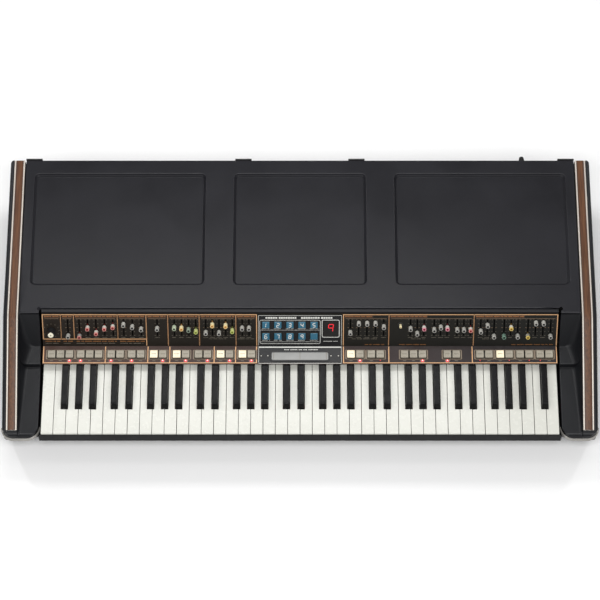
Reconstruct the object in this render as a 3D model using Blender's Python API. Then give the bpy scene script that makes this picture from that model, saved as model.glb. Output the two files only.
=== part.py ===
"""Seventy-one key polyphonic synthesizer, as separate pieces at real size.

Metres, +Z up, +X to the player's right, +Y away from the player.
The origin is the middle of the footprint, on the surface that the feet stand on.
"""

import math

import bmesh
import bpy
from mathutils import Matrix, Vector

# --- Driving dimensions -------------------------------------------------------------------

GAP = 0.0003  # the least room between two touching pieces

# Side view: each point is (Y, Z).
STRIP_FRONT = (-0.2675, 0.1020)  # where the wooden strip starts on top of the cheek
DECK_FRONT = (-0.0625, 0.1860)  # where the slope of the cheek meets the deck
DECK_BACK = (0.2715, 0.1995)
PANEL_TOP = (-0.0615, 0.1860)
PANEL_FOLD = (-0.0985, 0.1230)
LEDGE_FRONT = (-0.1365, 0.1216)
CASE_FRONT = -0.2795  # Y of the front faces of the cheeks
CASE_FRONT_LOW = 0.0820  # Z where the front face ends and the underside slopes back
CASE_BOTTOM = 0.0120
PAN_WALL = 0.0031
CASE_HEEL = -0.2395  # Y where the sloping underside meets the flat bottom

# Front view: half widths.
HALF_WIDTH = 0.5680
CHEEK_INNER = 0.5385
LID_HALF = 0.5370
PANEL_HALF = 0.4945
BLOCK_INNER = 0.4985
WINDOW_HALF = 0.0810  # opening in the control panel for the centre module

# Keyboard
KEY_PITCH = 0.0235
WHITE_WIDTH = 0.0225
BLACK_WIDTH = 0.0126
BLACK_TOP_WIDTH = 0.0106
WHITE_COUNT = 42
FIRST_NOTE = 2  # the lowest white key is an E: C is 0, D is 1, E is 2
KEY_FRONT_Y = -0.2775
KEY_TOP_Z = 0.1060
HEAD_LENGTH = 0.0520
KEY_LENGTH = 0.1995
HEAD_DEPTH = 0.0135
KEY_DEPTH = 0.0095
KEY_PIVOT = (KEY_FRONT_Y + 0.1970, KEY_TOP_Z - 0.0055)
BLACK_OFFSET = {0: -0.0023, 1: 0.0021, 3: -0.0035, 4: 0.0, 5: 0.0032}  # by white note
SINGLE_FIRST, SINGLE_LAST = 19, 25  # the middle octave, whose keys are separate pieces

# Controls
SHEET = 0.0020
SLOT_WIDTH = 0.0024
SLOT_FROM, SLOT_TO = 0.0125, 0.0500  # distance down the panel from its top edge
# Each block of sliders: X of the first, pitch, and how far down each one stands.
SLIDER_BLOCKS = (
    (-0.4450, 0.0, (0.0470,)),
    (-0.4233, 0.01615, (0.0475, 0.0290, 0.0395, 0.0290, 0.0260)),
    (-0.3382, 0.0168, (0.0210, 0.0260, 0.0310)),
    (-0.2738, 0.0, (0.0300,)),
    (-0.2411, 0.0138, (0.0280, 0.0290, 0.0325, 0.0360)),
    (-0.1807, 0.0127, (0.0390, 0.0220, 0.0395, 0.0235, 0.0350)),
    (-0.1109, 0.0130, (0.0290, 0.0290)),
    (0.0966, 0.0160, (0.0390, 0.0183, 0.0183, 0.0183, 0.0260)),
    (0.2118, 0.0130, (0.0300, 0.0410, 0.0290)),
    (0.2572, 0.0126, (0.0325, 0.0270, 0.0290)),
    (0.3013, 0.0128, (0.0325, 0.0325, 0.0325)),
    (0.3465, 0.0128, (0.0360, 0.0230, 0.0475)),
    (0.3914, 0.0131, (0.0475, 0.0280, 0.0475)),
    (0.4371, 0.0145, (0.0475, 0.0176, 0.0176, 0.0475)),
)
MOVING_SLIDERS = ((0, 0), (1, 2), (2, 2), (4, 1), (5, 1), (6, 1), (7, 2), (9, 0), (13, 1))
SLIDER_RADIUS = 0.0040
SLIDER_HEIGHT = 0.0115
STEM_RADIUS = 0.0009

# Each group of push buttons: X of its middle and the number of buttons.
BUTTON_GROUPS = (
    (-0.4602, 3), (-0.4041, 3), (-0.3543, 2), (-0.3147, 2), (-0.2723, 2), (-0.2283, 2),
    (-0.1864, 2), (-0.1439, 2), (-0.1020, 2), (0.1066, 2), (0.1456, 2), (0.2181, 3),
    (0.2917, 2), (0.3543, 2), (0.3932, 2), (0.4315, 2), (0.4700, 2),
)
BUTTON_PITCH = 0.0172
BUTTON_SIZE = (0.0160, 0.0168)
BUTTON_Y = -0.1172
BUTTON_HEIGHT = 0.0050
BUTTON_BELOW = 0.0018
MOVING_BUTTONS = ((0, 1), (3, 1), (11, 1), (14, 1))

PRESET_X = (-0.0655, -0.0424, -0.0193, 0.0038, 0.0269)
PRESET_ROWS = (0.0239, 0.0497)
PRESET_SIZE = (0.0153, 0.0158)
PRESET_BELOW, PRESET_HEIGHT = 0.0050, 0.0035
CAP_ROUNDING = 0.0010
MOVING_PRESETS = ((0, 0), (2, 1), (4, 0))
DISPLAY = (0.0430, 0.0747, 0.0145, 0.0526)  # X from, X to, and down the panel from, to
RIBBON_HALF = 0.0545
KNOB_X, KNOB_DOWN = -0.4770, 0.0380
KNOB_RADIUS, KNOB_HEIGHT = 0.0080, 0.0180

# Lid and rear
LID_THICK = 0.0140
LID_FRONT = -0.0505
LID_EAR_FRONT = -0.0605
HINGE_AXIS = (0.2737, 0.1990)
TRAY_DEPTH = 0.0070
TRAY_FROM, TRAY_TO = 0.0015, 0.2415
TRAYS = ((-0.5185, -0.1850), (-0.1280, 0.1280), (0.1850, 0.5185))
HINGE_X = (-0.5215, -0.111, 0.111, 0.5215)
HINGE_WIDTH = 0.032
REAR_FACE = 0.2685  # Y of the rear panel's outer face
GLAND_X, GLAND_Z = 0.437, 0.1760
GLAND_FLANGE = 0.0070  # distance from the gland's inner end to its flange
# Radius and distance from the inner end: tail, flange, tapered nose.
GLAND_PROFILE = (
    (0.0050, 0.0000), (0.0050, GLAND_FLANGE), (0.0065, GLAND_FLANGE), (0.0065, 0.0095),
    (0.0056, 0.0115), (0.0052, 0.0197), (0.0042, 0.0207),
)
SWITCH_X, SWITCH_Z = 0.380, 0.100  # middle of the slot of the power switch
SWITCH_SLOT = (0.0180, 0.0084)
SWITCH_KNOB = (0.0060, 0.0076)
SWITCH_TRAVEL = 0.0110
REAR_PANEL_TOP = 0.1830

PANEL_TILT = math.atan2(PANEL_TOP[1] - PANEL_FOLD[1], PANEL_TOP[0] - PANEL_FOLD[0])
LEDGE_TILT = math.atan2(PANEL_FOLD[1] - LEDGE_FRONT[1], PANEL_FOLD[0] - LEDGE_FRONT[0])
DECK_TILT = math.atan2(DECK_BACK[1] - DECK_FRONT[1], DECK_BACK[0] - DECK_FRONT[0])

BLACK_COVER = (0.035, 0.035, 0.040)
DECK_COVER = (0.045, 0.046, 0.052)


# --- Building blocks ----------------------------------------------------------------------


def material(name, colour, roughness, metallic=0.0):
    made = bpy.data.materials.new(name)
    made.use_nodes = True
    shader = made.node_tree.nodes["Principled BSDF"]
    shader.inputs["Base Color"].default_value = (*colour, 1.0)
    shader.inputs["Roughness"].default_value = roughness
    shader.inputs["Metallic"].default_value = metallic
    return made


def finish(name, bm, looks=None, origin=(0.0, 0.0, 0.0), smooth=None):
    """The bmesh, drawn in world positions, as an object whose own origin is at this point."""
    bmesh.ops.recalc_face_normals(bm, faces=bm.faces)
    bm.transform(Matrix.Translation(-Vector(origin)))
    mesh = bpy.data.meshes.new(name)
    bm.to_mesh(mesh)
    bm.free()
    obj = bpy.data.objects.new(name, mesh)
    obj.location = origin
    bpy.context.scene.collection.objects.link(obj)
    if looks:
        mesh.materials.append(material(name, *looks))
    if smooth:
        mesh.shade_smooth()
        mesh.set_sharp_from_angle(angle=math.radians(smooth))
    return obj


def helper(name, bm):
    """An operand of a Boolean, which is no piece of the object."""
    obj = finish(name, bm)
    obj.hide_render = True
    obj.display_type = "WIRE"
    return obj


def boolean(obj, operation, other):
    made = obj.modifiers.new(f"{operation.lower()} {other.name}", "BOOLEAN")
    made.operation = operation
    made.solver = "EXACT"
    made.object = other


def add_box(bm, low, high, frame=Matrix()):
    size = Vector(high) - Vector(low)
    middle = (Vector(high) + Vector(low)) / 2
    place = frame @ Matrix.Translation(middle) @ Matrix.Diagonal((*size, 1.0))
    bmesh.ops.create_cube(bm, size=1.0, matrix=place)


def add_prism(bm, outline, low, high, direction="X"):
    """An outline of (Y, Z) points run along X, or of (X, Y) points run along Z."""

    def place(point, depth):
        return (depth, *point) if direction == "X" else (*point, depth)

    face = bm.faces.new([bm.verts.new(place(point, low)) for point in outline])
    made = bmesh.ops.extrude_face_region(bm, geom=[face])["geom"]
    moved = [item for item in made if isinstance(item, bmesh.types.BMVert)]
    bmesh.ops.translate(bm, verts=moved, vec=place((0.0, 0.0), high - low))


def add_turned(bm, profile, frame, steps=20):
    """A solid turned about the frame's Z axis from (radius, height) points, lowest first."""
    rings = []
    for radius, height in profile:
        around = (2 * math.pi * step / steps for step in range(steps))
        points = ((radius * math.cos(a), radius * math.sin(a), height) for a in around)
        rings.append([bm.verts.new(frame @ Vector(point)) for point in points])
    for lower, upper in zip(rings, rings[1:]):
        for step in range(steps):
            after = (step + 1) % steps
            bm.faces.new((lower[step], lower[after], upper[after], upper[step]))
    bm.faces.new(list(reversed(rings[0])))
    bm.faces.new(rings[-1])


def arc(centre, radius, start, end, steps=6):
    """Points on a circle, with the angles in degrees."""
    angles = (math.radians(start + (end - start) * step / steps) for step in range(steps + 1))
    return [(centre[0] + radius * math.cos(a), centre[1] + radius * math.sin(a)) for a in angles]


def line_at(first, second, y):
    """Z at this Y on the line through two (Y, Z) points."""
    share = (y - first[0]) / (second[0] - first[0])
    return first[1] + share * (second[1] - first[1])


def strip_line(y):
    """Z of the top of the wooden strip, which bends where the slope meets the deck."""
    if y < DECK_FRONT[0]:
        return line_at(STRIP_FRONT, DECK_FRONT, y)
    return line_at(DECK_FRONT, DECK_BACK, y)


def panel_frame(x, down, height=0.0):
    """A frame on the slider panel: Y up the slope, Z straight out of the panel."""
    turn = Matrix.Rotation(PANEL_TILT, 4, "X")
    return Matrix.Translation((x, *PANEL_TOP)) @ turn @ Matrix.Translation((0, -down, height))


def ledge_frame(x, y, height=0.0):
    """A frame on the button ledge: Z straight out of the ledge."""
    turn = Matrix.Rotation(LEDGE_TILT, 4, "X")
    place = Matrix.Translation((x, y, line_at(LEDGE_FRONT, PANEL_FOLD, y)))
    return place @ turn @ Matrix.Translation((0, 0, height))


def mirrored(points, side):
    """An (X, Y) outline drawn for the right side, put on either side."""
    return [(side * x, y) for x, y in points]


def between(side, inner, outer):
    """Lowest and highest X of a stretch given for the right side."""
    return min(side * inner, side * outer), max(side * inner, side * outer)


# --- Case ---------------------------------------------------------------------------------


def make_base_pan():
    wall = PAN_WALL
    front_top, side = 0.0765, LID_HALF - 0.0005
    back, lip_front = REAR_FACE - 0.0050, CASE_FRONT + 0.0110
    outer = (
        (CASE_HEEL, CASE_BOTTOM), (back, CASE_BOTTOM),
        (back, front_top), (lip_front, front_top),
    )
    inner = (
        (CASE_HEEL + wall, CASE_BOTTOM + wall), (back - wall, CASE_BOTTOM + wall),
        (back - wall, front_top + wall), (lip_front + wall, front_top + wall),
    )
    bm = bmesh.new()
    add_prism(bm, outer, -side, side)
    pan = finish("base_pan", bm, ((0.03, 0.03, 0.03), 0.5, 0.0))
    bm = bmesh.new()
    add_prism(bm, inner, wall - side, side - wall)
    boolean(pan, "DIFFERENCE", helper("pan_hollow", bm))


def cheek_outline():
    """Side view of a cheek: round nose, slope, bend, deck line, back, bottom, underside."""
    nose = arc((CASE_FRONT + 0.0090, STRIP_FRONT[1] - 0.0095), 0.0090, 180, 105, 4)
    return [
        (CASE_HEEL, CASE_BOTTOM),
        (CASE_FRONT, CASE_FRONT_LOW),
        *nose,
        STRIP_FRONT,
        DECK_FRONT,
        DECK_BACK,
        (DECK_BACK[0], CASE_BOTTOM),
    ]


def make_cheek(name, side):
    radius = 0.022
    bm = bmesh.new()
    add_prism(bm, cheek_outline(), *between(side, CHEEK_INNER, HALF_WIDTH))
    outer = [
        edge for edge in bm.edges
        if all(abs(vert.co.x - side * HALF_WIDTH) < 1e-6 for vert in edge.verts)
    ]
    bmesh.ops.bevel(bm, geom=outer, offset=0.006, segments=3, affect="EDGES", profile=0.5)
    cheek = finish(name, bm, (BLACK_COVER, 0.6), smooth=30)

    centre = (HALF_WIDTH - radius, CASE_FRONT + radius)
    plan = [
        (CHEEK_INNER, CASE_FRONT), *arc(centre, radius, 270, 360),
        (HALF_WIDTH, DECK_BACK[0] + 0.01), (CHEEK_INNER, DECK_BACK[0] + 0.01),
    ]
    bm = bmesh.new()
    add_prism(bm, mirrored(plan, side), 0.0, 0.3, "Z")
    boolean(cheek, "INTERSECT", helper(f"{name}_plan", bm))

    depth, above = 0.0070, 0.0100
    groove = [
        (STRIP_FRONT[0] - 0.0005, STRIP_FRONT[1] - depth), (DECK_FRONT[0], DECK_FRONT[1] - depth),
        (DECK_BACK[0] + 0.01, strip_line(DECK_BACK[0] + 0.01) - depth),
        (DECK_BACK[0] + 0.01, DECK_BACK[1] + above), (DECK_FRONT[0], DECK_FRONT[1] + above),
        (STRIP_FRONT[0] - 0.0005, STRIP_FRONT[1] + above),
    ]
    bm = bmesh.new()
    add_prism(bm, groove, *between(side, CHEEK_INNER - 0.01, 0.5604))
    boolean(cheek, "DIFFERENCE", helper(f"{name}_groove", bm))


def strip_outline(top, bottom, front=0.0):
    """Side view of a bar that follows the cheek, this far above and below the strip line."""
    y = STRIP_FRONT[0] + front
    return [
        (y, strip_line(y) + bottom), (DECK_FRONT[0], DECK_FRONT[1] + bottom),
        (DECK_BACK[0], DECK_BACK[1] + bottom), (DECK_BACK[0], DECK_BACK[1] + top),
        (DECK_FRONT[0], DECK_FRONT[1] + top), (y, strip_line(y) + top),
    ]


def make_strips(tag, side):
    """The walnut strip, and the pale metal channel that holds it."""
    inner, outer, wall = 0.5395, 0.5600, 0.0030
    bm = bmesh.new()
    add_prism(bm, strip_outline(0.0, -0.0066), *between(side, inner, outer))
    trim = finish(f"strip_trim_{tag}", bm, ((0.72, 0.68, 0.62), 0.35, 0.6))
    bm = bmesh.new()
    cut = strip_outline(0.01, -0.0050, front=-0.01)
    cut[2], cut[3] = (DECK_BACK[0] + 0.01, cut[2][1]), (DECK_BACK[0] + 0.01, cut[3][1])
    add_prism(bm, cut, *between(side, inner + wall, outer - wall))
    boolean(trim, "DIFFERENCE", helper(f"strip_trim_{tag}_hollow", bm))
    bm = bmesh.new()
    wood = strip_outline(0.0, -0.0050 + GAP)
    add_prism(bm, wood, *between(side, inner + wall + GAP, outer - wall - GAP))
    finish(f"wood_strip_{tag}", bm, ((0.16, 0.08, 0.045), 0.45))


def corner_path(offset):
    """Plan of the front corners of one side, from the outer side round to the inner side."""
    outer_radius, inner_radius = 0.022, 0.024
    outer = (HALF_WIDTH - outer_radius, CASE_FRONT + outer_radius)
    inner = (BLOCK_INNER + inner_radius, CASE_FRONT + inner_radius)
    return [
        *arc(outer, outer_radius + offset, 360, 270),
        *arc(inner, inner_radius + offset, 270, 180),
    ]


def make_corner_bead(name, side):
    """A bright bead that runs round the lower front corner."""
    bm = bmesh.new()
    plan = corner_path(0.0030) + list(reversed(corner_path(0.0005)))
    add_prism(bm, mirrored(plan, side), CASE_FRONT_LOW + 0.0010, CASE_FRONT_LOW + 0.0090, "Z")
    finish(name, bm, ((0.75, 0.74, 0.72), 0.25, 1.0), smooth=30)


def make_end_block(name, side):
    """The covered block between the keys and the cheek.

    Each station gives its Y, the height of its pad, and the X where the side wall rises.
    """
    outer = CHEEK_INNER - 0.0005
    low = CASE_FRONT_LOW
    slope_middle = (PANEL_TOP[0] + PANEL_FOLD[0]) / 2
    stations = (
        (CASE_FRONT, 0.0960, 0.5310),
        (CASE_FRONT + 0.0050, 0.1000, 0.5310),
        (KEY_FRONT_Y + 0.0600, 0.1040, 0.5285),
        (LEDGE_FRONT[0] - 0.0005, 0.1085, 0.5225),
        (LEDGE_FRONT[0], 0.1200, 0.5225),
        (PANEL_FOLD[0], 0.1215, 0.5110),
        (slope_middle, line_at(PANEL_FOLD, PANEL_TOP, slope_middle) - 0.0010, 0.5240),
        (PANEL_TOP[0] - GAP, PANEL_TOP[1] - 0.0015, 0.5340),
    )
    bm = bmesh.new()
    rings = []
    for y, pad, foot in stations:
        wall = max(strip_line(max(y, STRIP_FRONT[0])) - 0.0010, pad + 0.0002)
        section = (
            (BLOCK_INNER, low), (BLOCK_INNER, pad), (foot, pad),
            ((foot + outer) / 2, pad + 0.35 * (wall - pad)), (outer, wall), (outer, low),
        )
        rings.append([bm.verts.new((side * x, y, z)) for x, z in section])
    for first, second in zip(rings, rings[1:]):
        for i in range(len(first)):
            j = (i + 1) % len(first)
            bm.faces.new((first[i], first[j], second[j], second[i]))
    bm.faces.new(rings[0])
    bm.faces.new(list(reversed(rings[-1])))
    block = finish(name, bm, (BLACK_COVER, 0.6))

    radius = 0.024
    centre = (BLOCK_INNER + radius, CASE_FRONT + radius)
    plan = [
        (outer + 0.01, CASE_FRONT - 0.01), (outer + 0.01, 0.0), (BLOCK_INNER - 0.01, 0.0),
        (BLOCK_INNER - 0.01, centre[1]), *arc(centre, radius, 180, 270), (centre[0], CASE_FRONT - 0.01),
    ]
    bm = bmesh.new()
    add_prism(bm, mirrored(plan, side), 0.0, 0.3, "Z")
    boolean(block, "INTERSECT", helper(f"{name}_plan", bm))


def make_rear_panel():
    """The rear panel, with a slot for the power switch and a hole for the cord gland."""
    inner = REAR_FACE - SHEET
    bm = bmesh.new()
    add_box(bm, (-LID_HALF, inner, CASE_BOTTOM + SHEET), (LID_HALF, REAR_FACE, REAR_PANEL_TOP))
    panel = finish("rear_panel", bm, ((0.04, 0.04, 0.042), 0.4, 0.3))

    backwards = Matrix.Rotation(-math.pi / 2, 4, "X")
    bm = bmesh.new()
    hole = GLAND_PROFILE[0][0] + GAP
    start = Matrix.Translation((GLAND_X, inner - SHEET, GLAND_Z)) @ backwards
    add_turned(bm, ((hole, 0.0), (hole, 3 * SHEET)), start, steps=16)
    wide, tall = SWITCH_SLOT[0] / 2, SWITCH_SLOT[1] / 2
    low = (SWITCH_X - wide, inner - SHEET, SWITCH_Z - tall)
    add_box(bm, low, (SWITCH_X + wide, REAR_FACE + SHEET, SWITCH_Z + tall))
    boolean(panel, "DIFFERENCE", helper("rear_holes", bm))

    bm = bmesh.new()
    tail = Matrix.Translation((GLAND_X, REAR_FACE + GAP - GLAND_FLANGE, GLAND_Z)) @ backwards
    add_turned(bm, GLAND_PROFILE, tail, steps=16)
    finish("cord_gland", bm, ((0.02, 0.02, 0.02), 0.5), smooth=30)

    # The switch stands at the left end of its travel.
    x = SWITCH_X - SWITCH_TRAVEL / 2
    wide, tall = SWITCH_KNOB[0] / 2, SWITCH_KNOB[1] / 2
    bm = bmesh.new()
    low = (x - wide, inner - 0.0060, SWITCH_Z - tall)
    add_box(bm, low, (x + wide, REAR_FACE + 0.0040, SWITCH_Z + tall))
    finish("power_switch", bm, ((0.02, 0.02, 0.02), 0.4), origin=(x, REAR_FACE, SWITCH_Z))


def make_lid_hinge():
    """One long leaf on the rear panel with four knuckles behind the lid."""
    face, back = REAR_FACE + GAP, HINGE_AXIS[0] + 0.0018
    bm = bmesh.new()
    add_box(bm, (-0.5350, face, 0.1600), (0.5350, face + 0.0015, 0.1672))
    leaf = finish("lid_hinge", bm, ((0.05, 0.05, 0.05), 0.4, 0.8))
    front = DECK_BACK[0] + GAP
    knuckle = [
        (face, 0.1610), (face + 0.0015, 0.1610), (face + 0.0015, 0.1760), (back, 0.1830),
        *arc(HINGE_AXIS, 0.0018, 0, 180), (front + 0.0001, 0.1848), (face, 0.1800),
    ]
    bm = bmesh.new()
    for x in HINGE_X:
        add_prism(bm, knuckle, x - HINGE_WIDTH / 2, x + HINGE_WIDTH / 2)
    boolean(leaf, "UNION", helper("hinge_knuckles", bm))


def make_lid():
    """The top lid: front corners reach forward beside the panel, and three trays are sunk in it."""
    ear = BLOCK_INNER + 0.0010
    plan = (
        (-LID_HALF, DECK_BACK[0]), (-LID_HALF, LID_EAR_FRONT), (-ear, LID_EAR_FRONT), (-ear, LID_FRONT),
        (ear, LID_FRONT), (ear, LID_EAR_FRONT), (LID_HALF, LID_EAR_FRONT), (LID_HALF, DECK_BACK[0]),
    )
    top = line_at(DECK_FRONT, DECK_BACK, 0.0)
    tilt = Matrix(((1, 0, 0, 0), (0, 1, 0, 0), (0, math.tan(DECK_TILT), 1, 0), (0, 0, 0, 1)))
    bm = bmesh.new()
    add_prism(bm, plan, top - LID_THICK, top, "Z")
    front = [
        edge for edge in bm.edges
        if all(vert.co.z > top - 0.001 and vert.co.y < 0.0 for vert in edge.verts)
        and abs(edge.verts[0].co.y - edge.verts[1].co.y) < 1e-6
    ]
    bmesh.ops.bevel(bm, geom=front, offset=0.0045, segments=3, affect="EDGES", profile=0.5)
    bm.transform(tilt)
    lid = finish("top_lid", bm, (DECK_COVER, 0.5), origin=(0.0, *HINGE_AXIS), smooth=30)

    radius = 0.009
    bm = bmesh.new()
    for x0, x1 in TRAYS:
        outline = []
        corners = ((x1, TRAY_FROM, 270), (x1, TRAY_TO, 0), (x0, TRAY_TO, 90), (x0, TRAY_FROM, 180))
        for x, y, start in corners:
            centre = (x + (radius if x == x0 else -radius), y + (radius if y == TRAY_FROM else -radius))
            outline += arc(centre, radius, start, start + 90, 3)
        add_prism(bm, outline, top - TRAY_DEPTH, top + 0.01, "Z")
    bm.transform(tilt)
    boolean(lid, "DIFFERENCE", helper("lid_trays", bm))


def make_feet():
    number = 1
    for x in (-0.470, 0.470):
        for y in (-0.200, 0.220):
            bm = bmesh.new()
            profile = ((0.0125, 0.0), (0.0140, CASE_BOTTOM - GAP))
            add_turned(bm, profile, Matrix.Translation((x, y, 0.0)), steps=16)
            finish(f"foot_{number}", bm, ((0.02, 0.02, 0.02), 0.8), smooth=30)
            number += 1


def make_key_slip():
    """The strip in front of the keys, with a flange under their front edges."""
    front, back = CASE_FRONT + GAP, CASE_FRONT + 0.0250
    low, top, thick = 0.0795, 0.1040, 0.0012
    outline = (
        (front, low), (back, low), (back, low + 0.002), (front + thick, low + 0.002),
        (front + thick, top), (front, top),
    )
    bm = bmesh.new()
    add_prism(bm, outline, 0.001 - BLOCK_INNER, BLOCK_INNER - 0.001)
    finish("key_slip", bm, (BLACK_COVER, 0.5))


def make_panel_rail():
    """The rail over the slider panel."""
    front, back, low, top = PANEL_TOP[0] + 0.0021, LID_FRONT - 0.0025, 0.1740, 0.1880
    outline = [
        (front, low), (back, low), (back, top),
        *arc((front + 0.0025, top - 0.0025), 0.0025, 90, 180, 3),
    ]
    bm = bmesh.new()
    add_prism(bm, outline, -PANEL_HALF, PANEL_HALF)
    finish("panel_rail", bm, ((0.06, 0.06, 0.068), 0.35))


# --- Inside -------------------------------------------------------------------------------


def make_key_bed():
    """A steel plate under the keys, with the rail that carries their pivots."""
    front, back = CASE_FRONT + 0.0270, KEY_PIVOT[0] + 0.0150
    low, thick, rail_top = 0.0790, 0.0025, KEY_TOP_Z - KEY_DEPTH - 0.0015
    rail = (KEY_PIVOT[0] - 0.0040, KEY_PIVOT[0] + 0.0020)
    outline = (
        (front, low), (back, low), (back, low + thick), (rail[1], low + thick),
        (rail[1], rail_top), (rail[0], rail_top), (rail[0], low + thick), (front, low + thick),
    )
    bm = bmesh.new()
    add_prism(bm, outline, 0.001 - BLOCK_INNER, BLOCK_INNER - 0.001)
    finish("key_bed", bm, ((0.45, 0.45, 0.42), 0.35, 1.0))


def make_main_board():
    bm = bmesh.new()
    add_box(bm, (-0.4600, -0.0300, 0.0400), (0.3000, 0.2100, 0.0416))
    finish("main_board", bm, ((0.05, 0.18, 0.06), 0.4))


def make_transformer():
    """A laminated core with its winding standing proud of it."""
    x, y, low = 0.400, 0.150, CASE_BOTTOM + PAN_WALL + GAP
    bm = bmesh.new()
    add_box(bm, (x - 0.045, y - 0.038, low), (x + 0.045, y + 0.038, low + 0.058))
    core = finish("transformer", bm, ((0.12, 0.11, 0.10), 0.5, 0.6))
    bm = bmesh.new()
    add_box(bm, (x - 0.028, y - 0.056, low + 0.008), (x + 0.028, y + 0.056, low + 0.068))
    boolean(core, "UNION", helper("transformer_winding", bm))


# --- Controls -----------------------------------------------------------------------------


def folded_sheet(bm, top_cut, front_cut, half):
    """A bent sheet whose outer face follows the slider panel and the button ledge."""
    along_panel = Vector((math.cos(PANEL_TILT), math.sin(PANEL_TILT)))
    along_ledge = Vector((math.cos(LEDGE_TILT), math.sin(LEDGE_TILT)))
    out_panel = Vector((-along_panel.y, along_panel.x))
    out_ledge = Vector((-along_ledge.y, along_ledge.x))
    top = Vector(PANEL_TOP) - top_cut * along_panel
    fold = Vector(PANEL_FOLD)
    front = Vector(LEDGE_FRONT) + front_cut * along_ledge
    bend = (out_panel + out_ledge) * SHEET / (1 + out_panel.dot(out_ledge))
    outline = (
        top, fold, front, front - SHEET * out_ledge, fold - bend, top - SHEET * out_panel,
    )
    add_prism(bm, [tuple(point) for point in outline], -half, half)


def slider_places():
    """(block, item, X, how far down the panel) of every slider."""
    for block, (first, pitch, rests) in enumerate(SLIDER_BLOCKS):
        for item, down in enumerate(rests):
            yield block, item, first + item * pitch, down


def button_x(group, item):
    middle, count = BUTTON_GROUPS[group]
    return middle + (item - (count - 1) / 2) * BUTTON_PITCH


def make_control_panel():
    bm = bmesh.new()
    folded_sheet(bm, 0.0, 0.0, PANEL_HALF)
    panel = finish("control_panel", bm, ((0.04, 0.036, 0.032), 0.45))

    bm = bmesh.new()
    for _, _, x, _ in slider_places():
        frame = panel_frame(x, SLOT_TO)
        add_box(bm, (-SLOT_WIDTH / 2, 0, -0.01), (SLOT_WIDTH / 2, SLOT_TO - SLOT_FROM, 0.01), frame)
    add_turned(bm, ((0.0035, -0.01), (0.0035, 0.01)), panel_frame(KNOB_X, KNOB_DOWN), steps=16)
    boolean(panel, "DIFFERENCE", helper("panel_slots", bm))

    bm = bmesh.new()
    room = 0.0004
    for x, count in BUTTON_GROUPS:
        half = ((count - 1) * BUTTON_PITCH + BUTTON_SIZE[0]) / 2 + room
        deep = BUTTON_SIZE[1] / 2 + room
        add_box(bm, (-half, -deep, -0.01), (half, deep, 0.01), ledge_frame(x, BUTTON_Y))
    boolean(panel, "DIFFERENCE", helper("panel_button_holes", bm))

    length = math.dist(PANEL_TOP, PANEL_FOLD)
    for tag, frame, run in (
        ("slope", panel_frame(0.0, length + 0.004), length + 0.004 - 0.0025),
        ("ledge", ledge_frame(0.0, LEDGE_FRONT[0] + 0.0025), PANEL_FOLD[0] - LEDGE_FRONT[0]),
    ):
        bm = bmesh.new()
        add_box(bm, (-WINDOW_HALF, 0, -0.0060), (WINDOW_HALF, run, 0.0060), frame)
        boolean(panel, "DIFFERENCE", helper(f"centre_window_{tag}", bm))


def make_centre_panel():
    bm = bmesh.new()
    folded_sheet(bm, 0.0025 + 0.0004, 0.0025 + 0.0004, WINDOW_HALF - 0.0004)
    panel = finish("centre_panel", bm, ((0.02, 0.02, 0.02), 0.4))
    bm = bmesh.new()
    room = 0.0004
    for x in PRESET_X:
        for down in PRESET_ROWS:
            wide, tall = PRESET_SIZE[0] / 2 + room, PRESET_SIZE[1] / 2 + room
            add_box(bm, (-wide, -tall, -0.01), (wide, tall, 0.01), panel_frame(x, down))
    x0, x1, down0, down1 = DISPLAY
    add_box(bm, (x0, -down1, -0.01), (x1, -down0, 0.01), panel_frame(0.0, 0.0))
    boolean(panel, "DIFFERENCE", helper("centre_holes", bm))

    bm = bmesh.new()
    low, high = (x0 + GAP, GAP - down1, -0.0040), (x1 - GAP, -down0 - GAP, -0.0008)
    add_box(bm, low, high, panel_frame(0.0, 0.0))
    finish("display_window", bm, ((0.05, 0.01, 0.01), 0.1))

    bm = bmesh.new()
    frame = ledge_frame(0.0, KEY_FRONT_Y + 0.1570)
    add_box(bm, (-RIBBON_HALF, -0.0080, GAP), (RIBBON_HALF, 0.0080, 0.0022), frame)
    finish("ribbon", bm, ((0.40, 0.40, 0.39), 0.5))


def add_cap(bm, size, low, high, frame):
    """A square cap whose upper edges are rounded."""
    wide, deep = size[0] / 2, size[1] / 2
    cap = bmesh.new()
    add_box(cap, (-wide, -deep, low), (wide, deep, high))
    top = [edge for edge in cap.edges if all(vert.co.z > high - 1e-6 for vert in edge.verts)]
    bmesh.ops.bevel(cap, geom=top, offset=CAP_ROUNDING, segments=2, affect="EDGES", profile=0.5)
    cap.transform(frame)
    mesh = bpy.data.meshes.new("cap")
    cap.to_mesh(mesh)
    cap.free()
    bm.from_mesh(mesh)
    bpy.data.meshes.remove(mesh)


def make_sliders():
    number = 1
    for block, item, x, down in slider_places():
        if (block, item) not in MOVING_SLIDERS:
            continue
        frame = panel_frame(x, down)
        bm = bmesh.new()
        profile = (
            (STEM_RADIUS, -0.0040), (STEM_RADIUS, 0.0010), (0.0030, 0.0010),
            (SLIDER_RADIUS, 0.0018), (SLIDER_RADIUS, SLIDER_HEIGHT - 0.0010),
            (SLIDER_RADIUS - 0.0008, SLIDER_HEIGHT),
        )
        add_turned(bm, profile, frame, steps=14)
        slider = finish(
            f"slider_{number}", bm, ((0.30, 0.30, 0.28), 0.5), origin=frame.translation, smooth=40
        )
        bm = bmesh.new()
        add_box(bm, (-0.0040, -0.0030, -0.0060), (0.0040, 0.0030, -0.0032), frame)
        boolean(slider, "UNION", helper(f"slider_{number}_carriage", bm))
        number += 1


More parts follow.
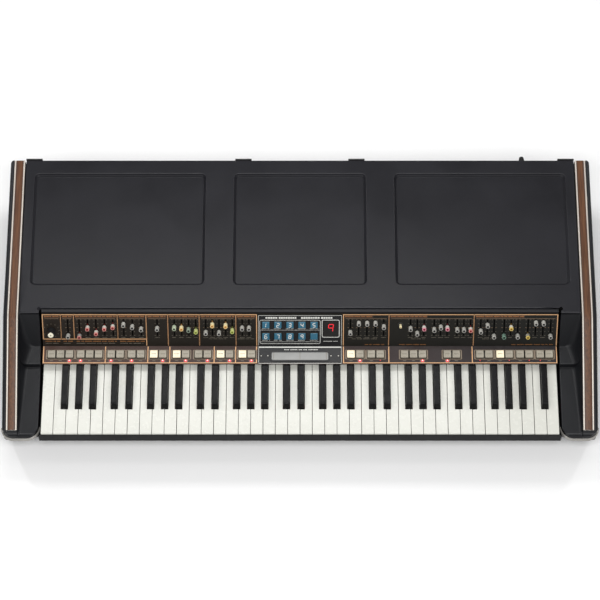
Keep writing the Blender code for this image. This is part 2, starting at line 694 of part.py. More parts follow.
def make_buttons():
    for number, (group, item) in enumerate(MOVING_BUTTONS, 1):
        frame = ledge_frame(button_x(group, item), BUTTON_Y)
        bm = bmesh.new()
        add_cap(bm, BUTTON_SIZE, -BUTTON_BELOW, BUTTON_HEIGHT, frame)
        looks = ((0.38, 0.35, 0.29), 0.45)
        finish(f"button_{number}", bm, looks, origin=frame.translation)


def make_presets():
    for number, (column, row) in enumerate(MOVING_PRESETS, 1):
        frame = panel_frame(PRESET_X[column], PRESET_ROWS[row])
        bm = bmesh.new()
        add_cap(bm, PRESET_SIZE, -PRESET_BELOW, PRESET_HEIGHT, frame)
        looks = ((0.03, 0.17, 0.26), 0.35)
        finish(f"preset_{number}", bm, looks, origin=frame.translation)


def make_knob():
    frame = panel_frame(KNOB_X, KNOB_DOWN)
    bm = bmesh.new()
    profile = (
        (0.0030, -0.0090), (0.0030, 0.0008), (KNOB_RADIUS, 0.0008),
        (KNOB_RADIUS - 0.0008, KNOB_HEIGHT - 0.0010), (KNOB_RADIUS - 0.0018, KNOB_HEIGHT),
    )
    add_turned(bm, profile, frame, steps=24)
    finish("tune_knob", bm, ((0.02, 0.02, 0.02), 0.4), origin=frame.translation, smooth=40)


# --- Keyboard -----------------------------------------------------------------------------


def white_note(index):
    return (index + FIRST_NOTE) % 7


def boundary(index):
    """X of the line between this white key and the one before it."""
    return (index - WHITE_COUNT / 2) * KEY_PITCH


def black_middle(index):
    """X of the black key after this white key, or None where there is none."""
    note = white_note(index)
    if note not in BLACK_OFFSET or not 0 <= index < WHITE_COUNT - 1:
        return None
    return boundary(index + 1) + BLACK_OFFSET[note]


def add_white_head(bm, index):
    room = (KEY_PITCH - WHITE_WIDTH) / 2
    low = (boundary(index) + room, KEY_FRONT_Y, KEY_TOP_Z - HEAD_DEPTH)
    high = (boundary(index + 1) - room, KEY_FRONT_Y + HEAD_LENGTH, KEY_TOP_Z)
    add_box(bm, low, high)


def add_white_tail(bm, index):
    """The narrow rear of a white key, between its black neighbours."""
    room, beside = (KEY_PITCH - WHITE_WIDTH) / 2 + 0.0003, BLACK_WIDTH / 2 + 0.0010
    left, right = boundary(index) + room, boundary(index + 1) - room
    before, after = black_middle(index - 1), black_middle(index)
    if before is not None:
        left = before + beside
    if after is not None:
        right = after - beside
    low = (left, KEY_FRONT_Y + HEAD_LENGTH - 0.0010, KEY_TOP_Z - KEY_DEPTH)
    add_box(bm, low, (right, KEY_FRONT_Y + KEY_LENGTH, KEY_TOP_Z - 0.0001))


def add_black(bm, index):
    """A black key: sloping front, flat top, and a low rear under the panel."""
    side_view = (
        (0.0530, -0.0095), (0.0535, 0.0020), (0.0590, 0.0112), (0.0630, 0.0120), (0.1475, 0.0120),
        (0.1495, -0.0015), (0.1995, -0.0015), (0.1995, -0.0095),
    )
    outline = [(KEY_FRONT_Y + y, KEY_TOP_Z + z) for y, z in side_view]
    x = black_middle(index)
    start = len(bm.verts)
    add_prism(bm, outline, x - BLACK_WIDTH / 2, x + BLACK_WIDTH / 2)
    bm.verts.ensure_lookup_table()
    for vert in bm.verts[start:]:
        if vert.co.z > KEY_TOP_Z + 0.0050:
            vert.co.x = x + (vert.co.x - x) * BLACK_TOP_WIDTH / BLACK_WIDTH


WHITE_LOOKS = ((0.85, 0.84, 0.79), 0.25)
BLACK_LOOKS = ((0.015, 0.015, 0.015), 0.25)
NOTE_NAMES = "CDEFGAB"


def make_single_keys():
    """The middle octave, each key its own piece."""
    for index in range(SINGLE_FIRST, SINGLE_LAST + 1):
        letter = NOTE_NAMES[white_note(index)]
        middle = (boundary(index) + boundary(index + 1)) / 2
        bm = bmesh.new()
        add_white_head(bm, index)
        key = finish(f"key_{letter}", bm, WHITE_LOOKS, origin=(middle, *KEY_PIVOT))
        bm = bmesh.new()
        add_white_tail(bm, index)
        boolean(key, "UNION", helper(f"key_{letter}_tail", bm))
        if black_middle(index) is not None:
            bm = bmesh.new()
            add_black(bm, index)
            origin = (black_middle(index), *KEY_PIVOT)
            finish(f"key_{letter}_sharp", bm, BLACK_LOOKS, origin=origin)


def make_key_group(name, first, last):
    """A run of keys joined by a bar at their rear ends."""
    low = (boundary(first) + 0.0010, KEY_FRONT_Y + KEY_LENGTH - 0.0040, KEY_TOP_Z - KEY_DEPTH + 0.0010)
    high = (boundary(last + 1) - 0.0010, KEY_FRONT_Y + KEY_LENGTH - 0.0005, KEY_TOP_Z - 0.0020)
    bm = bmesh.new()
    add_box(bm, low, high)
    middle = (low[0] + high[0]) / 2
    group = finish(name, bm, WHITE_LOOKS, origin=(middle, *KEY_PIVOT))
    indexes = range(first, last + 1)
    blacks = [index for index in indexes if black_middle(index) is not None]
    for tag, add, chosen in (
        ("heads", add_white_head, indexes),
        ("tails", add_white_tail, indexes),
        ("blacks", add_black, blacks),
    ):
        bm = bmesh.new()
        for index in chosen:
            add(bm, index)
        made = helper(f"{name}_{tag}", bm)
        if tag == "heads":
            heads = made
        elif tag == "tails":
            boolean(made, "UNION", heads)
            boolean(group, "UNION", made)
        else:
            boolean(group, "UNION", made)


# --- The whole object ---------------------------------------------------------------------


def main():
    for obj in list(bpy.data.objects):
        bpy.data.objects.remove(obj)
    make_base_pan()
    for tag, side in (("left", -1), ("right", 1)):
        make_cheek(f"side_cheek_{tag}", side)
        make_strips(tag, side)
        make_corner_bead(f"corner_bead_{tag}", side)
        make_end_block(f"end_block_{tag}", side)
    make_rear_panel()
    make_lid_hinge()
    make_lid()
    make_feet()
    make_key_slip()
    make_panel_rail()
    make_key_bed()
    make_main_board()
    make_transformer()
    make_control_panel()
    make_centre_panel()
    make_sliders()
    make_buttons()
    make_presets()
    make_knob()
    make_single_keys()
    make_key_group("keys_low", 0, SINGLE_FIRST - 1)
    make_key_group("keys_high", SINGLE_LAST + 1, WHITE_COUNT - 1)


main()
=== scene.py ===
"""The looks of a seventy-one key synthesizer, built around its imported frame.

Metres, +Z up, +X to the player's right, +Y away from the player, as in the frame.
"""

import math
import random

import bmesh
import bpy
from mathutils import Matrix, Vector


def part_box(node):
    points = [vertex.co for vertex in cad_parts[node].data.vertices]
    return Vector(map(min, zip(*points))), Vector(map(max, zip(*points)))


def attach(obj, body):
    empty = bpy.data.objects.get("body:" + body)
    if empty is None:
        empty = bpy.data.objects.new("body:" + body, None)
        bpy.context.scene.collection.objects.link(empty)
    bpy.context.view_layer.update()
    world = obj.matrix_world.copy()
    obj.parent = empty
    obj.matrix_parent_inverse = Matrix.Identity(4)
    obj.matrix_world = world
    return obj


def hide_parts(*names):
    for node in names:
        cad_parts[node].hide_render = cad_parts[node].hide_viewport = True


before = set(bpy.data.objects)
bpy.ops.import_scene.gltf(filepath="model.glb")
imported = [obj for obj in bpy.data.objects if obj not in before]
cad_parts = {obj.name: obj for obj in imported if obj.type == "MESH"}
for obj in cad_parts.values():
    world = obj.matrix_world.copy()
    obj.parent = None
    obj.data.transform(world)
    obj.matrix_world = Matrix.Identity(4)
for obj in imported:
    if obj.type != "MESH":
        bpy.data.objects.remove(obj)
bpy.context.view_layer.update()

# --- Sizes that the frame is built to -----------------------------------------------------

# Side view: each point is (Y, Z).
STRIP_FRONT = (-0.2675, 0.1020)
DECK_FRONT = (-0.0625, 0.1860)
DECK_BACK = (0.2715, 0.1995)
PANEL_TOP = (-0.0615, 0.1860)
PANEL_FOLD = (-0.0985, 0.1230)
LEDGE_FRONT = (-0.1365, 0.1216)
CASE_FRONT, CASE_FRONT_LOW = -0.2795, 0.0820
CASE_BOTTOM, CASE_HEEL = 0.0120, -0.2395
HALF_WIDTH, CHEEK_INNER = 0.5680, 0.5385
LID_HALF, BLOCK_INNER = 0.5370, 0.4985
STRIP_INNER, STRIP_OUTER, STRIP_WALL = 0.5395, 0.5600, 0.0030
OUTER_RADIUS, INNER_RADIUS = 0.022, 0.024
PANEL_TILT = math.atan2(PANEL_TOP[1] - PANEL_FOLD[1], PANEL_TOP[0] - PANEL_FOLD[0])
LEDGE_TILT = math.atan2(PANEL_FOLD[1] - LEDGE_FRONT[1], PANEL_FOLD[0] - LEDGE_FRONT[0])
DECK_TILT = math.atan2(DECK_BACK[1] - DECK_FRONT[1], DECK_BACK[0] - DECK_FRONT[0])
PANEL_LENGTH = math.dist(PANEL_TOP, PANEL_FOLD)

KEY_PITCH, WHITE_WIDTH = 0.0235, 0.0225
BLACK_WIDTH, BLACK_TOP_WIDTH = 0.0126, 0.0106
WHITE_COUNT, FIRST_NOTE = 42, 2
KEY_FRONT_Y, KEY_TOP_Z = -0.2775, 0.1060
HEAD_LENGTH, KEY_LENGTH = 0.0520, 0.1995
HEAD_DEPTH, KEY_DEPTH = 0.0135, 0.0095
BLACK_OFFSET = {0: -0.0023, 1: 0.0021, 3: -0.0035, 4: 0.0, 5: 0.0032}
SINGLE_FIRST, SINGLE_LAST = 19, 25
NOTE_NAMES = "CDEFGAB"

SLOT_FROM, SLOT_TO = 0.0125, 0.0500
# Each block of sliders: X of the first, pitch, and for each one how far down the panel it
# stands and the colours of its cap.
SLIDER_BLOCKS = (
    (-0.4450, 0.0, ((0.0470, "grey"),)),
    (-0.4233, 0.01615, (
        (0.0475, "grey red"), (0.0290, "white red"), (0.0395, "white red"),
        (0.0290, "white red"), (0.0260, "white red"),
    )),
    (-0.3382, 0.0168, ((0.0210, "grey"), (0.0260, "grey"), (0.0310, "grey"))),
    (-0.2738, 0.0, ((0.0300, "grey"),)),
    (-0.2411, 0.0138, (
        (0.0280, "pale green"), (0.0290, "cream orange"), (0.0325, "grey green"),
        (0.0360, "lime"),
    )),
    (-0.1807, 0.0127, (
        (0.0390, "grey"), (0.0220, "cream orange"), (0.0395, "grey"),
        (0.0235, "cream orange"), (0.0350, "lime"),
    )),
    (-0.1109, 0.0130, ((0.0290, "grey"), (0.0290, "grey"))),
    (0.0966, 0.0160, (
        (0.0390, "grey"), (0.0183, "grey"), (0.0183, "grey"), (0.0183, "grey"),
        (0.0260, "grey"),
    )),
    (0.2118, 0.0130, ((0.0300, "grey"), (0.0410, "grey"), (0.0290, "white pink"))),
    (0.2572, 0.0126, ((0.0325, "grey"), (0.0270, "grey"), (0.0290, "white pink"))),
    (0.3013, 0.0128, ((0.0325, "grey"), (0.0325, "grey"), (0.0325, "white red"))),
    (0.3465, 0.0128, ((0.0360, "grey"), (0.0230, "grey"), (0.0475, "grey"))),
    (0.3914, 0.0131, ((0.0475, "green"), (0.0280, "white yellow"), (0.0475, "grey"))),
    (0.4371, 0.0145, (
        (0.0475, "grey yellow"), (0.0176, "grey"), (0.0176, "grey"), (0.0475, "grey"),
    )),
)
MOVING_SLIDERS = ((0, 0), (1, 2), (2, 2), (4, 1), (5, 1), (6, 1), (7, 2), (9, 0), (13, 1))
PIN_X, PIN_DOWN = 0.1926, 0.0250

# Each group of push buttons: X of its middle, and for each button its cap and its lamp.
# A cap is plain or lit. A lamp is bright, dim or none.
BUTTON_GROUPS = (
    (-0.4602, ("plain none", "plain none", "plain bright")),
    (-0.4041, ("plain bright", "plain none", "plain none")),
    (-0.3543, ("plain bright", "plain none")),
    (-0.3147, ("plain bright", "plain none")),
    (-0.2723, ("lit none", "plain bright")),
    (-0.2283, ("lit none", "plain bright")),
    (-0.1864, ("plain none", "plain bright")),
    (-0.1439, ("lit none", "plain bright")),
    (-0.1020, ("lit none", "plain bright")),
    (0.1066, ("lit none", "plain bright")),
    (0.1456, ("plain none", "plain dim")),
    (0.2181, ("plain none", "plain none", "plain bright")),
    (0.2917, ("plain bright", "plain none")),
    (0.3543, ("plain dim", "plain none")),
    (0.3932, ("lit none", "plain dim")),
    (0.4315, ("plain none", "plain dim")),
    (0.4700, ("plain dim", "plain none")),
)
BUTTON_PITCH, BUTTON_SIZE = 0.0172, (0.0160, 0.0168)
BUTTON_Y, BUTTON_HEIGHT, BUTTON_BELOW = -0.1172, 0.0050, 0.0018
MOVING_BUTTONS = ((0, 1), (3, 1), (11, 1), (14, 1))
LAMP_Y = -0.1297

PRESET_X = (-0.0655, -0.0424, -0.0193, 0.0038, 0.0269)
PRESET_ROWS = (0.0239, 0.0497)
PRESET_SIZE, PRESET_BELOW, PRESET_HEIGHT = (0.0153, 0.0158), 0.0050, 0.0035
MOVING_PRESETS = ((0, 0), (2, 1), (4, 0))
DISPLAY = (0.0430, 0.0747, 0.0145, 0.0526)
KNOB_X, KNOB_DOWN = -0.4770, 0.0380

LID_THICK, LID_FRONT, LID_EAR_FRONT = 0.0140, -0.0505, -0.0605
TRAY_DEPTH, TRAY_FROM, TRAY_TO = 0.0070, 0.0015, 0.2415
TRAYS = ((-0.5185, -0.1850), (-0.1280, 0.1280), (0.1850, 0.5185))
REAR_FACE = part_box("rear_panel")[1].y

# --- Materials ----------------------------------------------------------------------------


def srgb(red, green, blue):
    """Linear values of a colour given as 0 to 255."""
    parts = (value / 255 for value in (red, green, blue))
    return tuple(p / 12.92 if p <= 0.04045 else ((p + 0.055) / 1.055) ** 2.4 for p in parts)


class Look:
    """A Principled material whose colour, roughness and relief come from nodes."""

    def __init__(self, name, roughness, metallic=0.0, **sockets):
        self.made = bpy.data.materials.new(name)
        self.made.use_nodes = True
        self.tree = self.made.node_tree
        self.shader = self.tree.nodes["Principled BSDF"]
        self.shader.inputs["Roughness"].default_value = roughness
        self.shader.inputs["Metallic"].default_value = metallic
        for socket, value in sockets.items():
            self.shader.inputs[socket.replace("_", " ")].default_value = value
        self.place = self.node("ShaderNodeTexCoord").outputs["Object"]

    def node(self, kind, links=(), **values):
        made = self.tree.nodes.new(kind)
        for key, value in values.items():
            setattr(made, key, value)
        for socket, source in dict(links).items():
            if isinstance(source, bpy.types.NodeSocket):
                self.tree.links.new(source, made.inputs[socket])
            else:
                made.inputs[socket].default_value = source
        return made

    def noise(self, scale, stretch=(1, 1, 1), detail=3.0, distortion=0.0):
        place = self.place
        if stretch != (1, 1, 1):
            place = self.node(
                "ShaderNodeMapping", {"Vector": self.place, "Scale": stretch}
            ).outputs["Vector"]
        return self.node(
            "ShaderNodeTexNoise",
            {"Vector": place, "Scale": scale, "Detail": detail, "Distortion": distortion},
        ).outputs["Fac"]

    def cells(self, scale, feature="F1"):
        made = self.node(
            "ShaderNodeTexVoronoi", {"Vector": self.place, "Scale": scale}, feature=feature
        )
        return made.outputs["Distance"]

    def bands(self, scale, direction="X", distortion=0.0):
        return self.node(
            "ShaderNodeTexWave",
            {"Vector": self.place, "Scale": scale, "Distortion": distortion},
            bands_direction=direction,
        ).outputs["Fac"]

    def ramp(self, factor, *stops):
        """Colours laid along a factor: each stop is (position, colour)."""
        made = self.node("ShaderNodeValToRGB", {"Fac": factor})
        elements = made.color_ramp.elements
        while len(elements) < len(stops):
            elements.new(0.5)
        for element, (position, colour) in zip(elements, stops):
            element.position = position
            element.color = (*colour, 1.0)
        return made.outputs["Color"]

    def map(self, factor, low, high, start=0.0, end=1.0):
        return self.node(
            "ShaderNodeMapRange",
            {"Value": factor, "From Min": start, "From Max": end, "To Min": low, "To Max": high},
        ).outputs["Result"]

    def mix(self, factor, *colours):
        first, second = ((*each, 1.0) if isinstance(each, tuple) else each for each in colours)
        made = self.node("ShaderNodeMix", {0: factor, 6: first, 7: second}, data_type="RGBA")
        return made.outputs[2]

    def colour(self, source, socket="Base Color"):
        self.tree.links.new(source, self.shader.inputs[socket])
        return self

    def rough(self, source):
        self.tree.links.new(source, self.shader.inputs["Roughness"])
        return self

    def bump(self, height, strength, distance):
        before = self.shader.inputs["Normal"].links
        links = {"Height": height, "Strength": strength, "Distance": distance}
        if before:
            links["Normal"] = before[0].from_socket
        made = self.node("ShaderNodeBump", links)
        self.tree.links.new(made.outputs["Normal"], self.shader.inputs["Normal"])
        return self


def shade(colour, factor):
    return tuple(value * factor for value in colour)


def leather(name, colour, roughness):
    """Grained vinyl covering: pebbled cells, slow patches of sheen, faint scuffs."""
    look = Look(name, roughness, Specular_IOR_Level=0.28)
    cells = look.cells(850, "DISTANCE_TO_EDGE")
    patches = look.noise(9, detail=4)
    fine = look.noise(320)
    tone = look.ramp(patches, (0.3, shade(colour, 0.85)), (0.7, shade(colour, 1.18)))
    pits = look.map(cells, 0.55, 1.0, 0.0, 0.12)
    look.colour(look.mix(pits, shade(colour, 0.6), tone))
    look.rough(look.map(patches, roughness - 0.06, roughness + 0.07, 0.25, 0.75))
    look.bump(cells, 0.35, 0.0003)
    look.bump(fine, 0.15, 0.0002)
    return look.made


def paint(name, colour, roughness, metallic=0.0, speckle=0.1, **sockets):
    """Sprayed paint or satin metal: orange peel, tone patches and a little dust."""
    look = Look(name, roughness, metallic, **sockets)
    patches = look.noise(14, detail=4)
    dust = look.noise(700, detail=2)
    tone = look.ramp(patches, (0.3, shade(colour, 0.9)), (0.7, shade(colour, 1.1)))
    look.colour(look.mix(look.map(dust, 0.0, speckle, 0.55, 0.8), tone, shade(colour, 1.8)))
    look.rough(look.map(patches, roughness - 0.05, roughness + 0.08, 0.25, 0.75))
    look.bump(look.noise(1400, detail=2), 0.08, 0.0001)
    return look.made


def plastic(name, colour, roughness=0.35, age=0.12, **sockets):
    """Moulded plastic: faint flow marks, handling dirt and a soft sheen."""
    look = Look(name, roughness, **sockets)
    patches = look.noise(40, detail=5, distortion=0.4)
    look.colour(look.ramp(patches, (0.3, shade(colour, 1 - age)), (0.75, shade(colour, 1 + age / 2))))
    look.rough(look.map(look.noise(110, detail=4), roughness - 0.06, roughness + 0.1, 0.3, 0.7))
    look.bump(look.noise(900, detail=2), 0.06, 0.0001)
    return look.made


def brushed(name, colour, roughness, stretch=(1, 40, 1)):
    """Brushed metal: long fine scratches along one direction."""
    look = Look(name, roughness, 0.9)
    scratches = look.noise(260, tuple(1 / s if s > 1 else 1 for s in stretch), detail=5)
    look.colour(look.ramp(scratches, (0.3, shade(colour, 0.86)), (0.7, shade(colour, 1.08))))
    look.rough(look.map(scratches, roughness - 0.08, roughness + 0.12, 0.3, 0.7))
    look.bump(scratches, 0.12, 0.0001)
    return look.made


def glow(name, colour, core, strength):
    """A lamp, a lit cap or painted lamp glow: brighter in the middle of its patches than at the edges."""
    look = Look(name, 0.25)
    patches = look.noise(160, detail=2)
    look.colour(look.ramp(patches, (0.3, shade(colour, 0.9)), (0.7, colour)))
    look.colour(look.ramp(patches, (0.2, core), (0.8, shade(core, 0.92))), "Emission Color")
    look.shader.inputs["Emission Strength"].default_value = strength
    return look.made


def walnut_look():
    """Oiled walnut: grain and pores that run along the strip, with painted shade along its edges."""
    look = Look("walnut", 0.5, Specular_IOR_Level=0.3)
    long_grain = look.noise(55, (3.2, 0.09, 3.2), detail=8, distortion=1.2)
    fine_grain = look.noise(260, (2.0, 0.035, 2.0), detail=6, distortion=0.4)
    pores = look.noise(900, (1.6, 0.03, 1.6), detail=3)
    base = look.ramp(
        long_grain,
        (0.28, srgb(54, 32, 21)), (0.45, srgb(84, 53, 34)),
        (0.58, srgb(101, 66, 42)), (0.75, srgb(68, 40, 27)),
    )
    streaks = look.ramp(fine_grain, (0.35, srgb(50, 28, 19)), (0.62, srgb(106, 70, 45)))
    body = look.mix(0.4, base, streaks)
    # Painted shade: both edges of the strip, beside the walls of its channel, are darker.
    across = look.node("ShaderNodeSeparateXYZ", {"Vector": look.place}).outputs["X"]
    off = look.node("ShaderNodeMath", {0: across}, operation="ABSOLUTE").outputs[0]
    middle = (STRIP_INNER + STRIP_OUTER) / 2
    off = look.node("ShaderNodeMath", {0: off, 1: middle}, operation="SUBTRACT").outputs[0]
    off = look.node("ShaderNodeMath", {0: off}, operation="ABSOLUTE").outputs[0]
    body = look.mix(look.map(off, 0.0, 0.45, 0.0030, 0.0066), body, srgb(44, 24, 18))
    look.colour(look.mix(look.map(pores, 0.0, 0.6, 0.62, 0.75), body, srgb(52, 30, 20)))
    look.rough(look.map(fine_grain, 0.34, 0.52, 0.3, 0.7))
    look.bump(fine_grain, 0.2, 0.0002)
    look.bump(pores, 0.15, 0.0002)
    return look.made


def panel_look():
    """Dark panel paint, browner towards the low notes, and lighter on the button ledge."""
    look = Look("panel_paint", 0.42, Specular_IOR_Level=0.18)
    axes = look.node("ShaderNodeSeparateXYZ", {"Vector": look.place}).outputs
    along = look.map(axes["X"], 0.0, 1.0, -0.5, 0.5)
    slope = look.ramp(along, (0.0, srgb(34, 28, 23)), (0.45, srgb(29, 27, 23)), (1.0, srgb(27, 27, 25)))
    ledge = look.ramp(along, (0.0, srgb(76, 58, 52)), (0.45, srgb(62, 50, 48)), (1.0, srgb(42, 40, 42)))
    on_slope = look.map(axes["Y"], 0.0, 1.0, PANEL_FOLD[0] - 0.0006, PANEL_FOLD[0])
    tone = look.mix(on_slope, ledge, slope)
    fine = look.noise(1100, detail=2)
    look.colour(look.mix(look.map(fine, 0.0, 0.2, 0.55, 0.8), tone, srgb(74, 68, 62)))
    look.rough(look.map(look.noise(22, detail=4), 0.36, 0.5, 0.3, 0.7))
    look.bump(fine, 0.12, 0.0001)
    return look.made


def board_look():
    """Green circuit board with tracks."""
    look = Look("circuit_green", 0.35)
    rows = look.bands(210, "Y", 1.5)
    dots = look.cells(160)
    green = look.ramp(look.noise(30), (0.3, srgb(22, 74, 36)), (0.7, srgb(34, 92, 46)))
    tracks = look.mix(look.map(rows, 0.0, 0.5, 0.6, 0.7), green, srgb(70, 130, 62))
    look.colour(look.mix(look.map(dots, 0.8, 0.0, 0.05, 0.16), tracks, srgb(190, 180, 150)))
    look.bump(rows, 0.1, 0.0002)
    return look.made


COVER = leather("black_cover", srgb(20, 21, 24), 0.40)
DECK = leather("deck_cover", srgb(23, 23, 28), 0.38)
WALNUT = walnut_look()
TRIM = paint("pale_trim", srgb(196, 188, 178), 0.38, 0.3, 0.05)
CHROME = paint("bright_bead", srgb(158, 155, 150), 0.34, 0.4, 0.05)
BLACK_PAINT = paint("black_paint", srgb(14, 14, 15), 0.55, Specular_IOR_Level=0.15)
GREY_PAINT = paint("rail_paint", srgb(21, 21, 24), 0.42, Specular_IOR_Level=0.3)
HINGE = paint("hinge_metal", srgb(40, 40, 41), 0.38, 0.6)
PANEL = panel_look()
CENTRE = paint("centre_paint", srgb(20, 20, 22), 0.36, Specular_IOR_Level=0.35)
COPPER_INK = paint("copper_ink", srgb(206, 160, 116), 0.42, 0.15, 0.3)
ORANGE_INK = paint("orange_ink", srgb(152, 98, 48), 0.5, 0.0, 0.2)
BROWN_INK = paint("brown_ink", srgb(58, 36, 22), 0.5, 0.0, 0.2)
WHITE_INK = paint("white_ink", srgb(212, 212, 206), 0.5, 0.0, 0.1)
GREY_INK = paint("grey_ink", srgb(118, 111, 98), 0.5, 0.0, 0.2)
BEIGE_INK = paint("beige_ink", srgb(150, 124, 98), 0.5, 0.0, 0.2)
BEZEL = plastic("bezel_taupe", srgb(128, 114, 98), 0.42)
CAP = plastic("cap_beige", srgb(154, 147, 132), 0.4)
CAP_LIT = glow("cap_lit", srgb(240, 226, 196), srgb(255, 228, 184), 0.15)
# Painted shade on the sides of the button and preset caps, where they sink into bezel and panel.
CAP_SIDE_SHADE = plastic("cap_side_painted_shade", srgb(58, 54, 48), 0.5)
# Painted shade on the sides of the white keys, in the gaps between them.
KEY_SIDE_SHADE = plastic("key_side_painted_shade", srgb(96, 90, 78), 0.6, 0.2)
LAMP_BRIGHT = glow("lamp_bright", srgb(240, 140, 140), (1.0, 0.58, 0.58), 1.5)
LAMP_RIM = glow("lamp_rim", srgb(190, 30, 36), (1.0, 0.05, 0.05), 1.6)
# Painted glow of the lamps' light on the ledge round their feet, in three rings.
PAINTED_LAMP_GLOW = [
    glow(f"painted_lamp_glow_{number}", srgb(62, 46, 44), (1.0, 0.06, 0.06), strength)
    for number, strength in enumerate((0.07, 0.18, 0.42), 1)
]
LAMP_DIM = glow("lamp_dim", srgb(150, 45, 50), (0.6, 0.10, 0.12), 0.6)
TEAL = plastic("preset_teal", srgb(42, 100, 124), 0.34)
GLASS = plastic("display_glass", srgb(30, 28, 27), 0.12, Specular_IOR_Level=0.3)
SEGMENT = glow("segment_red", srgb(200, 30, 30), (1.0, 0.02, 0.05), 0.6)
CAP_TEXT = plastic("cap_text", srgb(104, 98, 86), 0.5)
RIBBON = plastic("ribbon_grey", srgb(150, 150, 148), 0.55)
BLACK_PLASTIC = plastic("black_plastic", srgb(24, 24, 25), 0.36)
CREAM = plastic("cream_plastic", srgb(235, 229, 206), 0.35)
RUBBER = plastic("foot_rubber", srgb(28, 28, 28), 0.75)
WHITE_KEY = plastic("white_key", srgb(205, 205, 197), 0.22, 0.02)
BLACK_KEY = plastic("black_key", srgb(16, 16, 17), 0.3, 0.1, Specular_IOR_Level=0.14)
STEEL = brushed("zinc_steel", srgb(168, 166, 158), 0.34, (40, 1, 1))
BOARD = board_look()
CORE = paint("core_iron", srgb(78, 74, 70), 0.5, 0.5)
TAPE = plastic("winding_tape", srgb(196, 160, 70), 0.45)
FELT = plastic("red_felt", srgb(120, 30, 34), 0.9, 0.3)
# Near-black painted shade, for hollows, slits and gaps where shade falls.
PAINTED_SHADE = plastic("painted_shade_black", srgb(5, 5, 5), 0.9, Specular_IOR_Level=0.05)

# Body, end ring and hollow of each kind of slider cap.
CAP_COLOURS = {
    "grey": ((176, 175, 168), (162, 160, 154), (8, 8, 8)),
    "grey red": ((160, 156, 150), (190, 128, 120), (120, 30, 26)),
    "white red": ((206, 202, 192), (204, 134, 126), (136, 30, 30)),
    "white pink": ((204, 202, 194), (210, 140, 152), (128, 20, 44)),
    "white yellow": ((206, 202, 186), (214, 186, 104), (150, 110, 26)),
    "grey yellow": ((164, 162, 150), (206, 182, 96), (140, 106, 26)),
    "cream orange": ((226, 214, 172), (226, 196, 134), (196, 142, 78)),
    "pale green": ((186, 198, 172), (178, 190, 162), (44, 52, 36)),
    "grey green": ((138, 152, 134), (134, 148, 130), (34, 42, 32)),
    "lime": ((190, 196, 132), (184, 192, 112), (132, 142, 56)),
    "green": ((108, 136, 122), (104, 132, 116), (28, 44, 36)),
}
CAP_LOOKS = {
    kind: [
        plastic(f"slider_{kind.replace(' ', '_')}_{part}", srgb(*colour), 0.38)
        for part, colour in zip(("body", "ring", "hollow"), colours)
    ]
    for kind, colours in CAP_COLOURS.items()
}

# --- Shapes -------------------------------------------------------------------------------


class Shape:
    """Points and faces, each face with the number of its material."""

    def __init__(self, points=(), faces=(), looks=()):
        self.points = [Vector(point) for point in points]
        self.faces = [tuple(face) for face in faces]
        self.looks = list(looks) or [0] * len(self.faces)

    def add(self, other, place=Matrix(), look=None, shift=0):
        """Takes in another shape at a place, all in one look or with its looks counted on."""
        start = len(self.points)
        self.points += [place @ point for point in other.points]
        self.faces += [tuple(start + corner for corner in face) for face in other.faces]
        self.looks += [own + shift if look is None else look for own in other.looks]
        return self

    def at(self, place):
        """A copy of the shape at a place."""
        return Shape().add(self, place)


def shape_of(bm):
    """The shape of an editable mesh, which is used up."""
    bmesh.ops.recalc_face_normals(bm, faces=bm.faces)
    bm.verts.index_update()
    shape = Shape(
        [vert.co.copy() for vert in bm.verts],
        [[vert.index for vert in face.verts] for face in bm.faces],
        [face.material_index for face in bm.faces],
    )
    bm.free()
    return shape


def bm_of(shape):
    """An editable mesh of the shape."""
    bm = bmesh.new()
    verts = [bm.verts.new(point) for point in shape.points]
    for face in shape.faces:
        bm.faces.new([verts[corner] for corner in face])
    bm.normal_update()
    return bm


def bevelled(bm, edges, width, steps):
    bmesh.ops.bevel(
        bm, geom=edges, offset=width, segments=steps, affect="EDGES", profile=0.5, clamp_overlap=True
    )


def block(low, high, rounding=0.0, steps=2):
    """A box with rounded edges."""
    bm = bmesh.new()
    size = Vector(high) - Vector(low)
    middle = (Vector(high) + Vector(low)) / 2
    place = Matrix.Translation(middle) @ Matrix.Diagonal((*size, 1.0))
    bmesh.ops.create_cube(bm, size=1.0, matrix=place)
    if rounding:
        bevelled(bm, list(bm.edges), rounding, steps)
    return shape_of(bm)


def arc(centre, radius, start, end, steps=6):
    angles = (math.radians(start + (end - start) * step / steps) for step in range(steps + 1))
    return [(centre[0] + radius * math.cos(a), centre[1] + radius * math.sin(a)) for a in angles]


def rounded_rect(wide, tall, radius, steps=5, middle=(0.0, 0.0)):
    """Corners of a rounded rectangle, anticlockwise from its lower right."""
    points = []
    for sx, sy, start in ((1, -1, 270), (1, 1, 0), (-1, 1, 90), (-1, -1, 180)):
        centre = (middle[0] + sx * (wide / 2 - radius), middle[1] + sy * (tall / 2 - radius))
        points += arc(centre, radius, start, start + 90, steps)
    return points


def prism(outline, low, high, rounding=0.0, steps=2, direction="Z"):
    """An outline run along Z from (X, Y) points, or along X from (Y, Z) points, with its
    upper rim rounded."""

    def place(point, depth):
        return (*point, depth) if direction == "Z" else (depth, *point)

    bm = bmesh.new()
    face = bm.faces.new([bm.verts.new(place(point, low)) for point in outline])
    made = bmesh.ops.extrude_face_region(bm, geom=[face])["geom"]
    moved = [item for item in made if isinstance(item, bmesh.types.BMVert)]
    bmesh.ops.translate(bm, verts=moved, vec=place((0.0, 0.0), high - low))
    if rounding:
        chosen = set(moved)
        bevelled(bm, [e for e in bm.edges if set(e.verts) <= chosen], rounding, steps)
    return shape_of(bm)


